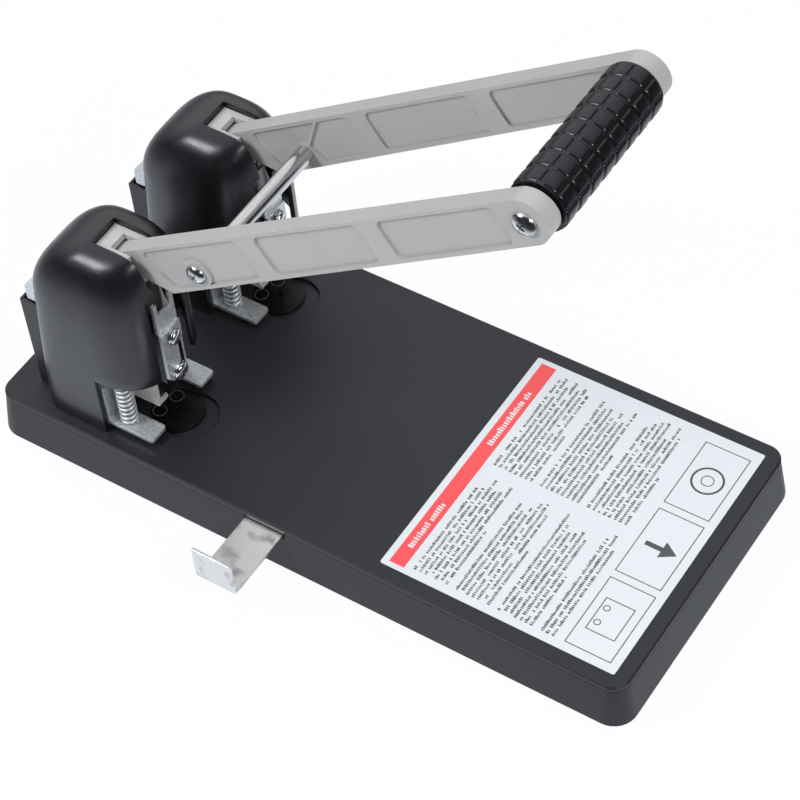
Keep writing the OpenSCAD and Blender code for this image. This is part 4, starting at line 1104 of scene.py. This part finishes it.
def frame_strips(x0, y0, x1, y1, w):
    """Four thin strips that frame a rectangle."""
    return [oblong(x0, y0, x1, y0 + w), oblong(x0, y1 - w, x1, y1),
            oblong(x0, y0 + w, x0 + w, y1 - w), oblong(x1 - w, y0 + w, x1, y1 - w)]


def ring_strips(x, y, r, w, count=28):
    """A ring as a row of short strips."""
    outer = arc((x, y), r, 0, 360, count + 1)
    inner = arc((x, y), r - w, 0, 360, count + 1)
    return [[inner[i], outer[i], outer[i + 1], inner[i + 1]] for i in range(count)]


sign_shapes = []
for k in range(3):
    y0 = -FILM_HALF + SIGN_MARGIN + k * (SIGN_W + SIGN_GAP)
    sign_shapes += frame_strips(SIGN_LOW, y0, SIGN_HIGH, y0 + SIGN_W, LINE_W)
    mx, my = (SIGN_LOW + SIGN_HIGH) / 2, y0 + SIGN_W / 2
    if k == 0:
        sign_shapes += frame_strips(mx - SHEET_X, my - SHEET_Y, mx + SHEET_X, my + SHEET_Y, LINE_W)
        for hole_y in (my - HOLE_OFF, my + HOLE_OFF):
            sign_shapes += ring_strips(mx - HOLE_OFF, hole_y, HOLE_R, LINE_W)
    elif k == 1:
        sign_shapes.append(oblong(mx + TAIL, my - SHAFT_HALF, mx + NECK, my + SHAFT_HALF))
        barbs = [(mx + NECK, my - BARB_HALF), (mx + TIP, my), (mx + NECK, my + BARB_HALF)]
        sign_shapes.append(barbs)
    else:
        sign_shapes += ring_strips(mx, my, RING_R, RING_W)
        sign_shapes += ring_strips(mx, my, EYE_R, LINE_W)
signs_mesh = flat_sheet("sticker_signs", sign_shapes, INK_Z, INK_T)
new_piece("sticker_signs", signs_mesh, grey_ink, "base", slot="sticker_film")
print("signs:", len(sign_shapes), "strips")

# %% [markdown]
# ## Ring marks on the discs
#
# The punches have pressed rings into the cutting discs. Thin pale rings in the discs' grooves
# show them, and they turn with the discs.

# %% Disc marks
DISC = Vector((-83.9, 40, 25))
DISC_OFFSET, MARK_DEGS, MARK_R, MARK_W, MARK_SIDES = 8.1, (129, 213), 3.33, 0.31, 40
MARK_DEEP, MARK_T = 0.28, 0.26
for side, sign in SIDES.items():
    rings = []
    for mark_deg in MARK_DEGS:
        a = math.radians(mark_deg)
        x = DISC.x + DISC_OFFSET * math.cos(a)
        y = sign * DISC.y + DISC_OFFSET * math.sin(a)
        rings += ring_strips(x, y, MARK_R, MARK_W, MARK_SIDES)
    mesh = flat_sheet("disc_marks_" + side, rings, DISC.z - MARK_DEEP, MARK_T)
    new_piece("disc_marks_" + side, mesh, mark_grey, "disc_" + side, slot="disc_black")
print("marks on both discs")

# %% [markdown]
# ## Round marks on the arms
#
# A cast arm keeps faint rings where pins pushed it out of its mould. They lie on the floor of
# the middle panel, on the side that faces the other arm.

# %% Mould marks
PANEL_Y, RING_H = 37.2, 0.12
MOULD_MARKS = ((125.4, -10.6), (179.6, -11.2))
MOULD_R, MOULD_W = 2.3, 0.35
for side, sign in SIDES.items():
    rings = []
    for u, v in MOULD_MARKS:
        rings += ring_strips(u, v, MOULD_R, MOULD_W)
    mesh = flat_sheet("mould_marks_" + side, rings, 0, RING_H)
    onto_panel = Matrix(((1, 0, 0, 0), (0, 0, -sign, sign * PANEL_Y * MM),
                         (0, 1, 0, 0), (0, 0, 0, 1)))
    mesh.transform(lever @ onto_panel)
    if sign < 0:
        mesh.flip_normals()
    new_piece("mould_marks_" + side, mesh, arm_grey, "handle", slot="arm_grey")
print("mould marks on both arms")

# %% End
bpy.context.view_layer.update()
